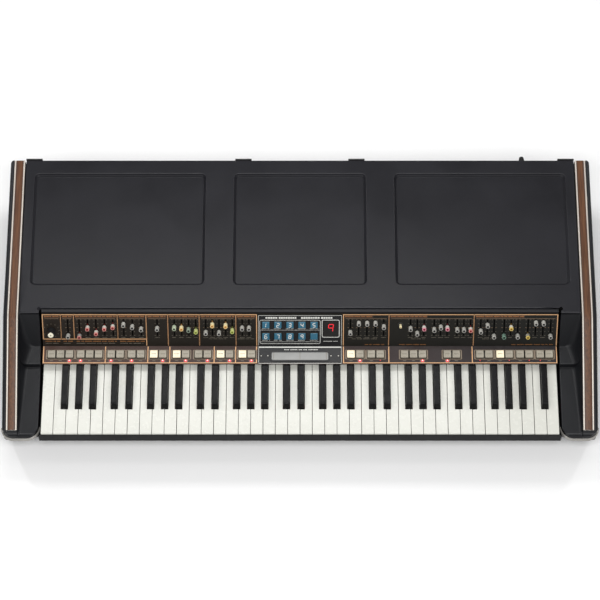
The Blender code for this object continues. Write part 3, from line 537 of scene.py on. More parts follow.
def turned(profile, steps=24, looks=None):
    """A body turned about Z from (radius, height) points, lowest first. A radius of 0 is a
    tip. looks gives the material of each stretch of the profile."""
    points, faces, marks, rings = [], [], [], []
    looks = looks or [0] * (len(profile) - 1)
    for radius, height in profile:
        if radius == 0:
            rings.append([len(points)])
            points.append((0.0, 0.0, height))
            continue
        rings.append(list(range(len(points), len(points) + steps)))
        for step in range(steps):
            angle = 2 * math.pi * step / steps
            points.append((radius * math.cos(angle), radius * math.sin(angle), height))
    for lower, upper, look in zip(rings, rings[1:], looks):
        for step in range(steps):
            after = (step + 1) % steps
            corners = [
                lower[step % len(lower)], lower[after % len(lower)],
                upper[after % len(upper)], upper[step % len(upper)],
            ]
            faces.append(tuple(dict.fromkeys(corners)))
            marks.append(look)
    if len(rings[0]) > 1:
        faces.append(tuple(reversed(rings[0])))
        marks.append(looks[0])
    if len(rings[-1]) > 1:
        faces.append(tuple(rings[-1]))
        marks.append(looks[-1])
    return Shape(points, faces, marks)


def quads(first, second, count):
    """Faces between two rings of a list of points, where each ring has count points."""
    pairs = [(i, (i + 1) % count) for i in range(count)]
    low, high = first * count, second * count
    return [(low + i, low + j, high + j, high + i) for i, j in pairs]


def loft(rings):
    """Rings that have the same number of points, joined in order and closed at both ends."""
    count, last = len(rings[0]), len(rings) - 1
    faces = [face for number in range(last) for face in quads(number, number + 1, count)]
    faces.append(tuple(reversed(range(count))))
    faces.append(tuple(range(last * count, (last + 1) * count)))
    return Shape([point for ring in rings for point in ring], faces)


def stacked(size, loops, corner, shrink, steps):
    """Rounded rectangles, one over the other: each loop is (how far inside, height), and
    the radius of the corners shrinks inwards."""
    wide, deep = size
    rings = []
    for inset, z in loops:
        radius = max(corner - inset * shrink, 0.0005)
        outline = rounded_rect(wide - 2 * inset, deep - 2 * inset, radius, steps)
        rings.append([(x, y, z) for x, y in outline])
    return loft(rings)


def sweep(path, sideways, section):
    """A section run along a path. Each section point is (across, up), where sideways gives
    the direction of across, and up is square to it and to the path."""
    across = Vector(sideways).normalized()
    path = [Vector(point) for point in path]
    rings = []
    for number, point in enumerate(path):
        before = (point - path[number - 1]).normalized() if number else None
        after = (path[number + 1] - point).normalized() if number + 1 < len(path) else None
        along = ((before or after) + (after or before)).normalized()
        up = across.cross(along).normalized()
        stretch = 1 / max(0.3, along.dot(after or before))
        rings.append([point + across * a + up * (b * stretch) for a, b in section])
    return loft(rings)


def ring_of(outer, inner, low, high, rounding=0.0004):
    """A flat frame between two outlines that have the same number of points."""

    def moved(line, other):
        made = []
        for point, far in zip(line, other):
            towards = Vector(far) - Vector(point)
            made.append(Vector(point) + towards.normalized() * min(rounding, towards.length * 0.45))
        return made

    levels = (
        (outer, low), (outer, high - rounding), (moved(outer, inner), high),
        (moved(inner, outer), high), (inner, high - rounding), (inner, low),
    )
    points = [(*point, z) for line, z in levels for point in line]
    count = len(levels)
    faces = [face for a in range(count) for face in quads(a, (a + 1) % count, len(outer))]
    return Shape(points, faces)


def mesh_of(name, shape, looks=()):
    """A mesh of the shape, with its faces turned outwards."""
    mesh = bpy.data.meshes.new(name)
    mesh.from_pydata(shape.points, [], shape.faces)
    for look in looks:
        mesh.materials.append(look)
    mesh.polygons.foreach_set("material_index", shape.looks)
    bm = bmesh.new()
    bm.from_mesh(mesh)
    bmesh.ops.recalc_face_normals(bm, faces=bm.faces)
    bm.to_mesh(mesh)
    bm.free()
    return mesh


def linked(name, data):
    """A new object of the scene."""
    obj = bpy.data.objects.new(name, data)
    bpy.context.scene.collection.objects.link(obj)
    return obj


def soft_edges(obj, width, degrees):
    """Rounds the edges that are sharper than an angle."""
    edges = obj.modifiers.new("edges", "BEVEL")
    edges.width, edges.segments, edges.limit_method = width, 2, "ANGLE"
    edges.angle_limit = math.radians(degrees)


def piece(name, shape, looks, body="case", replaces=(), smooth=35.0):
    """The shape as an object that rides on a body."""
    mesh = mesh_of(name, shape, looks)
    mesh.shade_smooth()
    mesh.set_sharp_from_angle(angle=math.radians(smooth))
    obj = linked(name, mesh)
    obj.modifiers.new("flat_faces", "WEIGHTED_NORMAL").keep_sharp = True
    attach(obj, body)
    if replaces:
        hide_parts(*replaces)


def line_at(first, second, y):
    share = (y - first[0]) / (second[0] - first[0])
    return first[1] + share * (second[1] - first[1])


def strip_line(y):
    """Z of the top of the wooden strip, which bends where the slope meets the deck."""
    if y < DECK_FRONT[0]:
        return line_at(STRIP_FRONT, DECK_FRONT, y)
    return line_at(DECK_FRONT, DECK_BACK, y)


def panel_frame(x, down, height=0.0):
    """A frame on the slider panel: Y up the slope, Z straight out of the panel."""
    turn = Matrix.Rotation(PANEL_TILT, 4, "X")
    return Matrix.Translation((x, *PANEL_TOP)) @ turn @ Matrix.Translation((0, -down, height))


def ledge_frame(x, y, height=0.0):
    """A frame on the button ledge: Z straight out of the ledge."""
    turn = Matrix.Rotation(LEDGE_TILT, 4, "X")
    place = Matrix.Translation((x, y, line_at(LEDGE_FRONT, PANEL_FOLD, y)))
    return place @ turn @ Matrix.Translation((0, 0, height))


def rounded_path(points, radius, steps=8):
    """A (Y, Z) line whose inner corners are rounded."""
    made = [points[0]]
    for before, corner, after in zip(points, points[1:], points[2:]):
        back = (Vector(before) - Vector(corner)).normalized()
        on = (Vector(after) - Vector(corner)).normalized()
        for step in range(steps + 1):
            t = step / steps
            start, end = Vector(corner) + back * radius, Vector(corner) + on * radius
            made.append(tuple(start * (1 - t) ** 2 + Vector(corner) * 2 * t * (1 - t) + end * t**2))
    return [*made, points[-1]]


# --- Case ---------------------------------------------------------------------------------


def carved(name, shape, cuts, rounding=0.0006):
    """The shape after Booleans with others, with its sharp edges rounded."""
    obj = linked(name, mesh_of(name, shape))
    tools = []
    for operation, other in cuts:
        tools.append(linked(f"{name}_tool", mesh_of(name, other)))
        made = obj.modifiers.new("cut", "BOOLEAN")
        made.operation, made.solver, made.object = operation, "EXACT", tools[-1]
    soft_edges(obj, rounding, 35)
    bpy.context.view_layer.update()
    mesh = bpy.data.meshes.new_from_object(obj.evaluated_get(bpy.context.evaluated_depsgraph_get()))
    bm = bmesh.new()
    bm.from_mesh(mesh)
    for unused in (obj, *tools):
        bpy.data.objects.remove(unused)
    return shape_of(bm)


def make_cheek(tag, side):
    """A covered cheek: round nose, slope, bend and deck line, grooved for the strip."""
    nose = arc((CASE_FRONT + 0.0090, STRIP_FRONT[1] - 0.0095), 0.0090, 180, 105, 14)
    outline = [
        (CASE_HEEL, CASE_BOTTOM), (CASE_FRONT, CASE_FRONT_LOW), *nose, STRIP_FRONT,
        DECK_FRONT, DECK_BACK, (DECK_BACK[0], CASE_BOTTOM),
    ]
    body = prism(outline, side * CHEEK_INNER, side * HALF_WIDTH, 0.006, 6, "X")
    centre = (HALF_WIDTH - OUTER_RADIUS, CASE_FRONT + OUTER_RADIUS)
    inner, back = CHEEK_INNER - 0.001, DECK_BACK[0] + 0.01
    plan = [(inner, CASE_FRONT), *arc(centre, OUTER_RADIUS, 270, 360, 20), (HALF_WIDTH, back), (inner, back)]
    depth, above, start = 0.0070, 0.0100, STRIP_FRONT[0] - 0.0005
    groove = [
        (start, STRIP_FRONT[1] - depth), (DECK_FRONT[0], DECK_FRONT[1] - depth),
        (back, strip_line(back) - depth), (back, DECK_BACK[1] + above),
        (DECK_FRONT[0], DECK_FRONT[1] + above), (start, STRIP_FRONT[1] + above),
    ]
    ends = sorted((side * (CHEEK_INNER - 0.01), side * (STRIP_OUTER + 0.0004)))
    cuts = (
        ("INTERSECT", prism([(side * x, y) for x, y in plan], 0.0, 0.3)),
        ("DIFFERENCE", prism(groove, *ends, direction="X")),
    )
    shape = carved(f"cheek_{tag}", body, cuts)
    piece(f"cheek_{tag}", shape, [COVER], "case", [f"side_cheek_{tag}"])


def make_strips(tag, side):
    """The walnut strip in its pale channel."""
    middle = side * (STRIP_INNER + STRIP_OUTER) / 2
    path = rounded_path([STRIP_FRONT, DECK_FRONT, DECK_BACK], 0.010)
    line = [(middle, y, z) for y, z in path]
    half, corner = (STRIP_OUTER - STRIP_INNER) / 2, 0.0009
    right = [(half, -0.0066), (half, -corner), *arc((half - corner, -corner), corner, 30, 90, 2)]
    floor = half - STRIP_WALL
    right += [*arc((floor + corner, -corner), corner, 90, 150, 2), (floor, -0.0050)]
    left = [(-a, b) for a, b in reversed(right)]
    bm = bm_of(sweep(line, (1, 0, 0), [*right, *left]))
    front = min(vert.co.y for vert in bm.verts)
    corners = [
        edge for edge in bm.edges
        if abs(edge.verts[0].co.z - edge.verts[1].co.z) > 0.003
        and all(vert.co.y < front + 0.004 for vert in edge.verts)
        and all(abs(abs(vert.co.x - middle) - half) < 1e-5 for vert in edge.verts)
    ]
    bevelled(bm, corners, 0.0022, 5)
    piece(f"trim_{tag}", shape_of(bm), [TRIM], "case", [f"strip_trim_{tag}"])

    half = floor - 0.0003
    angles = [math.pi * step / 10 for step in range(11)]
    crown = [(half * math.cos(a), -0.0008 + 0.0006 * math.sin(a)) for a in angles]
    line[0] = (middle, STRIP_FRONT[0] + 0.0005, STRIP_FRONT[1])
    wood = sweep(line, (1, 0, 0), [(half, -0.0047), *crown, (-half, -0.0047)])
    piece(f"wood_{tag}", wood, [WALNUT], "case", [f"wood_strip_{tag}"])


def make_bead(tag, side):
    """A bright bead, with a thin lower lip, that runs round the lower front corner."""
    low, stand_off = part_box(f"corner_bead_{tag}")[0].z, 0.0006
    outer = (HALF_WIDTH - OUTER_RADIUS, CASE_FRONT + OUTER_RADIUS)
    inner = (BLOCK_INNER + INNER_RADIUS, CASE_FRONT + INNER_RADIUS)
    plan = [*arc(outer, OUTER_RADIUS + stand_off, 360, 270, 16)]
    plan += arc(inner, INNER_RADIUS + stand_off, 270, 180, 16)
    path = [Vector((side * x, y, low)) for x, y in plan]
    bead = [(0.0, 0.0), (-0.0016, 0.0003), (-0.0020, 0.0010), (-0.0014, 0.0019)]
    bead += [
        (-0.0006 - 0.0018 * math.sin(a), 0.0046 - 0.0027 * math.cos(a))
        for a in (0.5, 1.0, 1.57, 2.1, 2.6)
    ]
    bead += [(0.0, 0.0080)]
    rings = []
    for number, point in enumerate(path):
        before, after = path[max(0, number - 1)], path[min(len(path) - 1, number + 1)]
        along = (after - before).normalized()
        inward = Vector((along.y, -along.x, 0.0)) * side
        rings.append([point + inward * a + Vector((0, 0, b)) for a, b in bead])
    piece(f"bead_{tag}", loft(rings), [CHROME], "case", [f"corner_bead_{tag}"])


def make_end_block(tag, side):
    """The covered block between the keys and the cheek, with a hollowed rise to the cheek."""
    outer, low = CHEEK_INNER - 0.0005, CASE_FRONT_LOW
    slope_middle = (PANEL_TOP[0] + PANEL_FOLD[0]) / 2
    # Each station: Y, Z of the flat part, and X where the rise to the cheek starts.
    stations = (
        (CASE_FRONT, 0.0905, 0.5310),
        (CASE_FRONT + 0.0012, 0.0945, 0.5310),
        (CASE_FRONT + 0.0040, 0.0982, 0.5310),
        (CASE_FRONT + 0.0080, 0.1005, 0.5310),
        (KEY_FRONT_Y + 0.0600, 0.1040, 0.5285),
        (LEDGE_FRONT[0] - 0.0012, 0.1085, 0.5225),
        (LEDGE_FRONT[0] - 0.0006, 0.1090, 0.5225),
        (LEDGE_FRONT[0] - 0.0001, 0.1175, 0.5225),
        (LEDGE_FRONT[0] + 0.0010, 0.1192, 0.5222),
        (LEDGE_FRONT[0] + 0.0028, 0.1201, 0.5218),
        (PANEL_FOLD[0] - 0.0040, 0.1213, 0.5125),
        (PANEL_FOLD[0], 0.1222, 0.5110),
        (PANEL_FOLD[0] + 0.0030, 0.1262, 0.5135),
        (slope_middle, line_at(PANEL_FOLD, PANEL_TOP, slope_middle) - 0.0010, 0.5240),
        (PANEL_TOP[0] - 0.0003, PANEL_TOP[1] - 0.0015, 0.5340),
    )
    rings = []
    for y, pad, foot in stations:
        wall = max(strip_line(max(y, STRIP_FRONT[0])) - 0.0010, pad + 0.0002)
        edge = min(0.0025, pad - low - 0.001)
        section = [
            (BLOCK_INNER, low), (BLOCK_INNER, pad - edge),
            (BLOCK_INNER + 0.3 * edge, pad - 0.3 * edge), (BLOCK_INNER + edge, pad),
        ]
        for angle in (math.pi / 16 * step for step in range(9)):
            rise = (wall - pad) * (1 - math.cos(angle))
            section.append((foot + (outer - foot) * math.sin(angle), pad + rise))
        section.append((outer, low))
        rings.append([(side * x, y, z) for x, z in section])
    centre = (BLOCK_INNER + INNER_RADIUS, CASE_FRONT + INNER_RADIUS)
    plan = [
        (outer + 0.01, CASE_FRONT - 0.01), (outer + 0.01, 0.0), (BLOCK_INNER - 0.01, 0.0),
        (BLOCK_INNER - 0.01, centre[1]), *arc(centre, INNER_RADIUS, 180, 270, 20),
        (centre[0], CASE_FRONT - 0.01),
    ]
    cut = prism([(side * x, y) for x, y in plan], 0.0, 0.3)
    shape = carved(f"block_{tag}", loft(rings), [("INTERSECT", cut)])
    piece(f"block_{tag}", shape, [COVER], "case", [f"end_block_{tag}"])


def around(items):
    """Each item with the one after it, and the last one with the first."""
    return zip(items, [*items[1:], items[0]])


def join(bm, first, second):
    """Faces between two rings of corners."""
    for (a, b), (c, d) in zip(around(first), around(second)):
        bm.faces.new((a, b, d, c))


def tray_loops():
    """How far inside the rim's outline, and how far below the deck, each loop of a tray is."""
    rim, slope, fillet = 0.0022, 0.0030, 0.0016
    floor = TRAY_DEPTH - 0.0004
    loops = [(rim * (math.sin(a) - 1), rim * (1 - math.cos(a))) for a in (0.0, 0.4, 0.8, 1.2)]
    loops += [(slope * t, rim + (floor - rim - fillet) * t) for t in (0.05, 1.0)]
    for a in (0.5, 1.0, math.pi / 2):
        loops.append((slope + fillet * (1 - math.cos(a)), floor - fillet * (1 - math.sin(a))))
    return loops


def make_lid():
    """The lid: rounded front edge, and three trays with rolled rims and soft floors."""
    ear = BLOCK_INNER + 0.0010
    right = [(ear, LID_FRONT), (ear, LID_EAR_FRONT), (LID_HALF, LID_EAR_FRONT), (LID_HALF, DECK_BACK[0])]
    plan = [*((-x, y) for x, y in reversed(right)), *right]
    top = line_at(DECK_FRONT, DECK_BACK, 0.0)
    bm = bmesh.new()
    bottom = [bm.verts.new((x, y, top - LID_THICK)) for x, y in plan]
    upper = [bm.verts.new((x, y, top)) for x, y in plan]
    bm.faces.new(bottom)
    join(bm, bottom, upper)
    rims = []
    for x0, x1 in TRAYS:
        middle = ((x0 + x1) / 2, (TRAY_FROM + TRAY_TO) / 2)
        wide, tall = x1 - x0, TRAY_TO - TRAY_FROM
        before = None
        for inset, down in tray_loops():
            radius = max(0.0095 - inset, 0.003)
            outline = rounded_rect(wide - 2 * inset, tall - 2 * inset, radius, 8, middle)
            ring = [bm.verts.new((x, y, top - down)) for x, y in outline]
            if before:
                join(bm, before, ring)
            else:
                rims += [bm.edges.new(pair) for pair in around(ring)]
            before = ring
        bm.faces.new(before)
    border = [bm.edges.get(pair) for pair in around(upper)]
    bmesh.ops.triangle_fill(bm, edges=[*border, *rims], use_beauty=True, use_dissolve=False)
    bmesh.ops.recalc_face_normals(bm, faces=bm.faces)
    front = [
        edge for edge in border
        if all(vert.co.y < 0 for vert in edge.verts)
        and abs(edge.verts[0].co.y - edge.verts[1].co.y) < 1e-6
    ]
    bevelled(bm, front, 0.0045, 6)
    sides = [
        edge for edge in bm.edges
        if all(vert.co.z > top - 1e-5 and abs(abs(vert.co.x) - LID_HALF) < 1e-4 for vert in edge.verts)
        and any(abs(face.normal.z) < 0.1 for face in edge.link_faces)
    ]
    bevelled(bm, sides, 0.0012, 3)
    # Painted shade: the front face lies in the gap behind the rail, so it takes the near-black shade
    # material.
    for face in bm.faces:
        if face.normal.y < -0.8 and face.calc_center_median().y < TRAY_FROM - 0.03:
            face.material_index = 1
    bm.transform(Matrix(((1, 0, 0, 0), (0, 1, 0, 0), (0, math.tan(DECK_TILT), 1, 0), (0, 0, 0, 1))))
    piece("lid", shape_of(bm), [DECK, PAINTED_SHADE], "lid", ["top_lid"], smooth=28)


# --- Keyboard -----------------------------------------------------------------------------


def white_note(index):
    return (index + FIRST_NOTE) % 7


def boundary(index):
    return (index - WHITE_COUNT / 2) * KEY_PITCH


def black_middle(index):
    """X of the black key after this white key, or None where there is none."""
    note = white_note(index)
    if note not in BLACK_OFFSET or not 0 <= index < WHITE_COUNT - 1:
        return None
    return boundary(index + 1) + BLACK_OFFSET[note]


def white_key(index):
    """A white key with a rolled front edge, notched beside its black neighbours."""
    room, beside = (KEY_PITCH - WHITE_WIDTH) / 2, BLACK_WIDTH / 2 + 0.0010
    left, right = boundary(index) + room, boundary(index + 1) - room
    before, after = black_middle(index - 1), black_middle(index)
    shoulder, back = KEY_FRONT_Y + HEAD_LENGTH, KEY_FRONT_Y + KEY_LENGTH
    plan = [(left, KEY_FRONT_Y), (right, KEY_FRONT_Y)]
    if after is None:
        plan += [(right, back)]
    else:
        plan += [(right, shoulder), (after - beside, shoulder), (after - beside, back)]
    if before is None:
        plan += [(left, back)]
    else:
        plan += [(before + beside, back), (before + beside, shoulder), (left, shoulder)]
    bm = bmesh.new()
    face = bm.faces.new([bm.verts.new((x, y, KEY_TOP_Z - KEY_DEPTH)) for x, y in plan])
    made = bmesh.ops.extrude_face_region(bm, geom=[face])["geom"]
    moved = [item for item in made if isinstance(item, bmesh.types.BMVert)]
    bmesh.ops.translate(bm, verts=moved, vec=(0, 0, KEY_DEPTH))
    bmesh.ops.recalc_face_normals(bm, faces=bm.faces)
    everything = [*bm.verts, *bm.edges, *bm.faces]
    bmesh.ops.bisect_plane(bm, geom=everything, plane_co=(0, shoulder, 0), plane_no=(0, 1, 0))
    under = [
        face for face in bm.faces
        if face.normal.z < -0.9 and face.calc_center_median().y < shoulder
    ]
    made = bmesh.ops.extrude_face_region(bm, geom=under)["geom"]
    lower = [item for item in made if isinstance(item, bmesh.types.BMVert)]
    bmesh.ops.translate(bm, verts=lower, vec=(0, 0, KEY_DEPTH - HEAD_DEPTH))
    front = [
        edge for edge in bm.edges
        if all(vert.co.z > KEY_TOP_Z - 1e-6 and vert.co.y < KEY_FRONT_Y + 1e-6 for vert in edge.verts)
    ]
    bevelled(bm, front, 0.0032, 5)
    rim = [
        edge for edge in bm.edges
        if all(vert.co.z > KEY_TOP_Z - 0.0035 for vert in edge.verts) and len(edge.link_faces) == 2
        and edge.calc_face_angle(0) > 1.2
    ]
    bevelled(bm, rim, 0.0006, 3)
    # Painted shade: the sides below the top, in the gaps between keys, take the darker side material.
    for face in bm.faces:
        if abs(face.normal.x) > 0.9 and face.calc_center_median().z < KEY_TOP_Z - 0.0010:
            face.material_index = 1
    return shape_of(bm)


def black_key():
    """A black key about X 0: sloping front, crowned top, and a low rear under the panel."""
    side_view = (
        (0.0530, -0.0095), (0.0535, 0.0020), (0.0590, 0.0112), (0.0630, 0.0120),
        (0.1475, 0.0120), (0.1495, -0.0015), (0.1995, -0.0015), (0.1995, -0.0095),
    )
    bm = bmesh.new()
    outline = [(KEY_FRONT_Y + y, KEY_TOP_Z + z) for y, z in side_view]
    rings = []
    for side in (-1, 1):
        ring = []
        for y, z in outline:
            half = (BLACK_TOP_WIDTH if z > KEY_TOP_Z + 0.0050 else BLACK_WIDTH) / 2
            ring.append(bm.verts.new((side * half, y, z)))
        rings.append(ring)
    bm.faces.new(rings[0])
    bm.faces.new(list(reversed(rings[1])))
    for i in range(len(outline)):
        j = (i + 1) % len(outline)
        bm.faces.new((rings[0][j], rings[0][i], rings[1][i], rings[1][j]))
    bmesh.ops.recalc_face_normals(bm, faces=bm.faces)
    edges = [
        edge for edge in bm.edges
        if all(vert.co.z > KEY_TOP_Z + 0.0015 for vert in edge.verts) and edge.calc_face_angle(0) > 0.5
    ]
    bevelled(bm, edges, 0.0013, 4)
    return shape_of(bm)


def make_keys():
    black, back = black_key(), KEY_FRONT_Y + KEY_LENGTH
    groups = {"keys_low": range(0, SINGLE_FIRST), "keys_high": range(SINGLE_LAST + 1, WHITE_COUNT)}
    for name, indexes in groups.items():
        low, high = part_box(name)
        # A bar at the back joins the keys of a group.
        whites = block(
            (low.x + 0.001, back - 0.0040, KEY_TOP_Z - KEY_DEPTH + 0.0010),
            (high.x - 0.001, back - 0.0005, KEY_TOP_Z - 0.0020), 0.0004,
        )
        blacks = Shape()
        for index in indexes:
            whites.add(white_key(index))
            if black_middle(index) is not None:
                blacks.add(black, Matrix.Translation((black_middle(index), 0, 0)))
        piece(f"{name}_white", whites, [WHITE_KEY, KEY_SIDE_SHADE], name, [name])
        piece(f"{name}_black", blacks, [BLACK_KEY], name)
    for index in range(SINGLE_FIRST, SINGLE_LAST + 1):
        name = f"key_{NOTE_NAMES[white_note(index)]}"
        piece(f"{name}_white", white_key(index), [WHITE_KEY, KEY_SIDE_SHADE], name, [name])
        if black_middle(index) is not None:
            name = f"{name}_sharp"
            shape = black.at(Matrix.Translation((black_middle(index), 0, 0)))
            piece(f"{name}_black", shape, [BLACK_KEY], name, [name])


# --- Controls -----------------------------------------------------------------------------

INK = 0.00018  # thickness of printing
LIFT = 0.00002  # how far it stands off, so that it never lies in the paint


def bar(x0, down0, x1, down1, thick=INK):
    """A printed bar on the slider panel, between two X and two distances down."""
    return block((x0, -down1, LIFT), (x1, -down0, thick)).at(panel_frame(0.0, 0.0))


def ledge_bar(x0, y0, x1, y1, thick=INK):
    """A printed bar on the button ledge, between two X and two Y."""
    half = (y1 - y0) / 2
    return block((x0, -half, LIFT), (x1, half, thick)).at(ledge_frame(0.0, (y0 + y1) / 2))


def words(ink, rng, x0, x1, place, tall, letter):
    """Fills a stretch with dashes in word-like runs. place gives where a dash lies."""
    x = x0
    left = rng.randint(4, 8)
    while x < x1 - letter[0]:
        wide = min(rng.uniform(*letter), x1 - x)
        ink.add(place(x, x + wide, tall * rng.uniform(0.75, 1.0)))
        x += wide + 0.0008
        left -= 1
        if left == 0:
            x += 0.0020
            left = rng.randint(3, 8)


def panel_words(ink, rng, x0, x1, down, tall, letter=(0.0011, 0.0019)):
    """Words on the slider panel, about a line that lies some way down it."""
    words(ink, rng, x0, x1, lambda a, b, t: bar(a, down - t / 2, b, down + t / 2), tall, letter)


def ledge_words(ink, rng, x0, x1, y, tall, letter):
    """Words on the button ledge, from a line up."""
    words(ink, rng, x0, x1, lambda a, b, t: ledge_bar(a, y, b, y + t), tall, letter)


def slider_places():
    """Of every slider: block and number in it, X, distance down the panel, and colours."""
    for block_number, (first, pitch, items) in enumerate(SLIDER_BLOCKS):
        for item, (down, kind) in enumerate(items):
            yield (block_number, item), first + item * pitch, down, kind


def make_panel_printing():
    """Copper outlines, title bars, scale marks and labels of the slider panel."""
    rng = random.Random(11)
    line, top, bottom = 0.0017, 0.0012, PANEL_LENGTH - 0.0012
    copper, orange, brown, grey, beige = (Shape() for _ in range(5))
    # Sections: X from, X to, and how far down their outlines reach.
    sections = (
        (-0.4930, -0.4585, 0.0580), (-0.4585, -0.4335, 0.0580), (-0.4335, -0.3497, 0.0580),
        (-0.3497, -0.2948, 0.0580), (-0.2948, -0.2533, bottom), (-0.2533, -0.1931, bottom),
        (-0.1931, -0.1229, bottom), (-0.1229, -0.0832, bottom),
        (0.0832, 0.1704, bottom), (0.1704, 0.3333, bottom), (0.3333, 0.4930, bottom),
    )
    for x0, x1, low in sections:
        for x in (x0, x1):
            copper.add(bar(x - line / 2, top, x + line / 2, low))
        copper.add(bar(x0 + line / 2, top, x1 - line / 2, top + line))
        if low < bottom:
            copper.add(bar(x0 + line / 2, low - line, x1 - line / 2, low))
        beige.add(bar(x0 + 0.004, 0.0108, x1 - 0.004, 0.0113))
    # Title bars: X from, X to.
    titles = (
        (-0.4905, -0.4610), (-0.4560, -0.4360), (-0.4310, -0.3522), (-0.3472, -0.2973),
        (-0.2923, -0.2558), (-0.2508, -0.1956), (-0.1906, -0.1254), (-0.1204, -0.0850),
        (0.0857, 0.1400), (0.1729, 0.2440), (0.3358, 0.4300),
    )
    for x0, x1 in titles:
        brown.add(bar(x0, 0.0033, x1, 0.0090, 0.0001))
        panel_words(orange, rng, x0 + 0.001, x1 - 0.001, 0.0061, 0.0030, (0.0007, 0.0014))
    for x0, x1, low in sections[:4]:
        panel_words(orange, rng, x0 + 0.004, x1 - 0.003, 0.0622, 0.0024, (0.0007, 0.0013))
        panel_words(grey, rng, x0 + 0.004, x1 - 0.006, 0.0668, 0.0012)
    for x0, x1 in ((0.125, 0.163), (0.191, 0.242), (0.407, 0.487)):
        panel_words(orange, rng, x0, x1, 0.0697, 0.0016, (0.0007, 0.0013))
    lower_labels = (
        (-0.1750, -0.1410), (-0.1200, -0.0880), (0.1000, 0.1500), (0.2140, 0.2400), (0.3500, 0.3720),
    )
    for x0, x1 in lower_labels:
        panel_words(grey, rng, x0, x1, 0.0567, 0.0012, (0.0007, 0.0012))
    # Scale marks beside every slot, and a short label under it.
    for _, x, _, _ in slider_places():
        for step in range(5):
            down = SLOT_FROM + 0.0012 + (SLOT_TO - SLOT_FROM - 0.0024) * step / 4
            long = 0.0018 if step % 2 else 0.0024
            for start in (x + 0.0028, x - 0.0028 - long):
                ink = beige if step == 2 else grey
                ink.add(bar(start, down - 0.00026, start + long, down + 0.00026))
        panel_words(grey, rng, x - 0.0045, x + 0.0045, 0.0536, 0.0011, (0.0008, 0.0013))
    dot, from_knob = turned(((0.0007, LIFT), (0.0007, INK)), 12), 0.0148
    for angle in (math.radians(degrees) for degrees in range(-150, 151, 30)):
        x, down = KNOB_X + from_knob * math.sin(angle), KNOB_DOWN - from_knob * math.cos(angle)
        grey.add(dot, panel_frame(x, down))
    piece("panel_outlines", copper, [COPPER_INK])
    piece("panel_titles", orange, [ORANGE_INK])
    piece("panel_title_bars", brown, [BROWN_INK])
    piece("panel_scales", grey, [GREY_INK])
    piece("panel_rules", beige, [BEIGE_INK])


def make_ledge_printing():
    """Dividers, border and labels of the button ledge."""
    rng = random.Random(5)
    copper, grey = Shape(), Shape()
    line = 0.0018
    front, back = LEDGE_FRONT[0] + 0.0016, PANEL_FOLD[0] - 0.0012
    dividers = (
        -0.4930, -0.3741, -0.2924, -0.2503, -0.1650, -0.1238, -0.0836, 0.0836, 0.1707, 0.3310, 0.4930,
    )
    for x in dividers:
        copper.add(ledge_bar(x - line / 2, front, x + line / 2, back))
    for x0, x1 in ((-0.4930, -0.0836), (0.0836, 0.4930)):
        copper.add(ledge_bar(x0 + line / 2, front, x1 - line / 2, front + line * 0.8))
    for x, items in BUTTON_GROUPS:
        half = len(items) * BUTTON_PITCH / 2 - 0.002
        ledge_words(grey, rng, x - half, x + half, -0.1336, 0.0010, (0.0008, 0.0014))
    piece("ledge_outlines", copper, [COPPER_INK])
    piece("ledge_labels", grey, [GREY_INK])


def slider_cap():
    """A round cap with a ring and a hollow at its end, on its flat stem: body 0, ring 1,
    hollow 2."""
    profile = (
        (0.0009, -0.0040), (0.0009, 0.0010), (0.0030, 0.0010), (0.0036, 0.0013),
        (0.0039, 0.0019), (0.0038, 0.0060), (0.0038, 0.0090), (0.0040, 0.0096),
        (0.0040, 0.0107), (0.0038, 0.0113), (0.0033, 0.0115), (0.0023, 0.0115),
        (0.0021, 0.0110), (0.0019, 0.0086), (0.0, 0.0084),
    )
    shape = turned(profile, 28, (0, 0, 0, 0, 0, 0, 0, 1, 1, 1, 1, 2, 2, 2))
    return shape.add(block((-0.0040, -0.0030, -0.0060), (0.0040, 0.0030, -0.0032), 0.0004), look=2)


def make_sliders():
    """All the sliders, and each one's track and the board under the panel."""
    cap = slider_cap()
    reach = SLOT_TO - SLOT_FROM
    track = block((-0.0045, -0.0030, -0.0150), (0.0045, reach + 0.0030, -0.0066), 0.0005)
    kinds = list(CAP_LOOKS)
    still, tracks = Shape(), Shape()
    for key, x, down, kind in slider_places():
        tracks.add(track, panel_frame(x, SLOT_TO))
        place = panel_frame(x, down)
        if key in MOVING_SLIDERS:
            name = f"slider_{MOVING_SLIDERS.index(key) + 1}"
            piece(f"{name}_cap", cap.at(place), CAP_LOOKS[kind], name, [name])
        else:
            still.add(cap, place, shift=3 * kinds.index(kind))
    piece("sliders_still", still, [look for kind in kinds for look in CAP_LOOKS[kind]])
    # The tracks, seen through the slots, are near-black painted shade.
    piece("slider_tracks", tracks, [PAINTED_SHADE])
    board = block((-0.4900, -PANEL_LENGTH + 0.0080, -0.0170), (0.4900, -0.0080, -0.0154), 0.0003)
    piece("slider_board", board.at(panel_frame(0.0, 0.0)), [BOARD])


def make_pin():
    """The small turned control in a round well between two blocks of sliders."""
    well = turned(
        (
            (0.0056, LIFT), (0.0056, 0.0006), (0.0052, 0.0009), (0.0040, 0.0009),
            (0.0038, 0.0003), (0.0, 0.0003),
        ),
        28,
    )
    pin = turned(
        (
            (0.0022, 0.0001), (0.0022, 0.0062), (0.0026, 0.0070), (0.0026, 0.0088),
            (0.0022, 0.0094), (0.0010, 0.0094), (0.0008, 0.0084), (0.0, 0.0084),
        ),
        20, (0, 0, 0, 0, 0, 1, 1),
    )
    place = panel_frame(PIN_X, PIN_DOWN)
    piece("pin_well", well.at(place), [BLACK_PLASTIC])
    pale, _, dark = CAP_LOOKS["cream orange"]
    piece("pin", pin.at(place), [pale, dark])


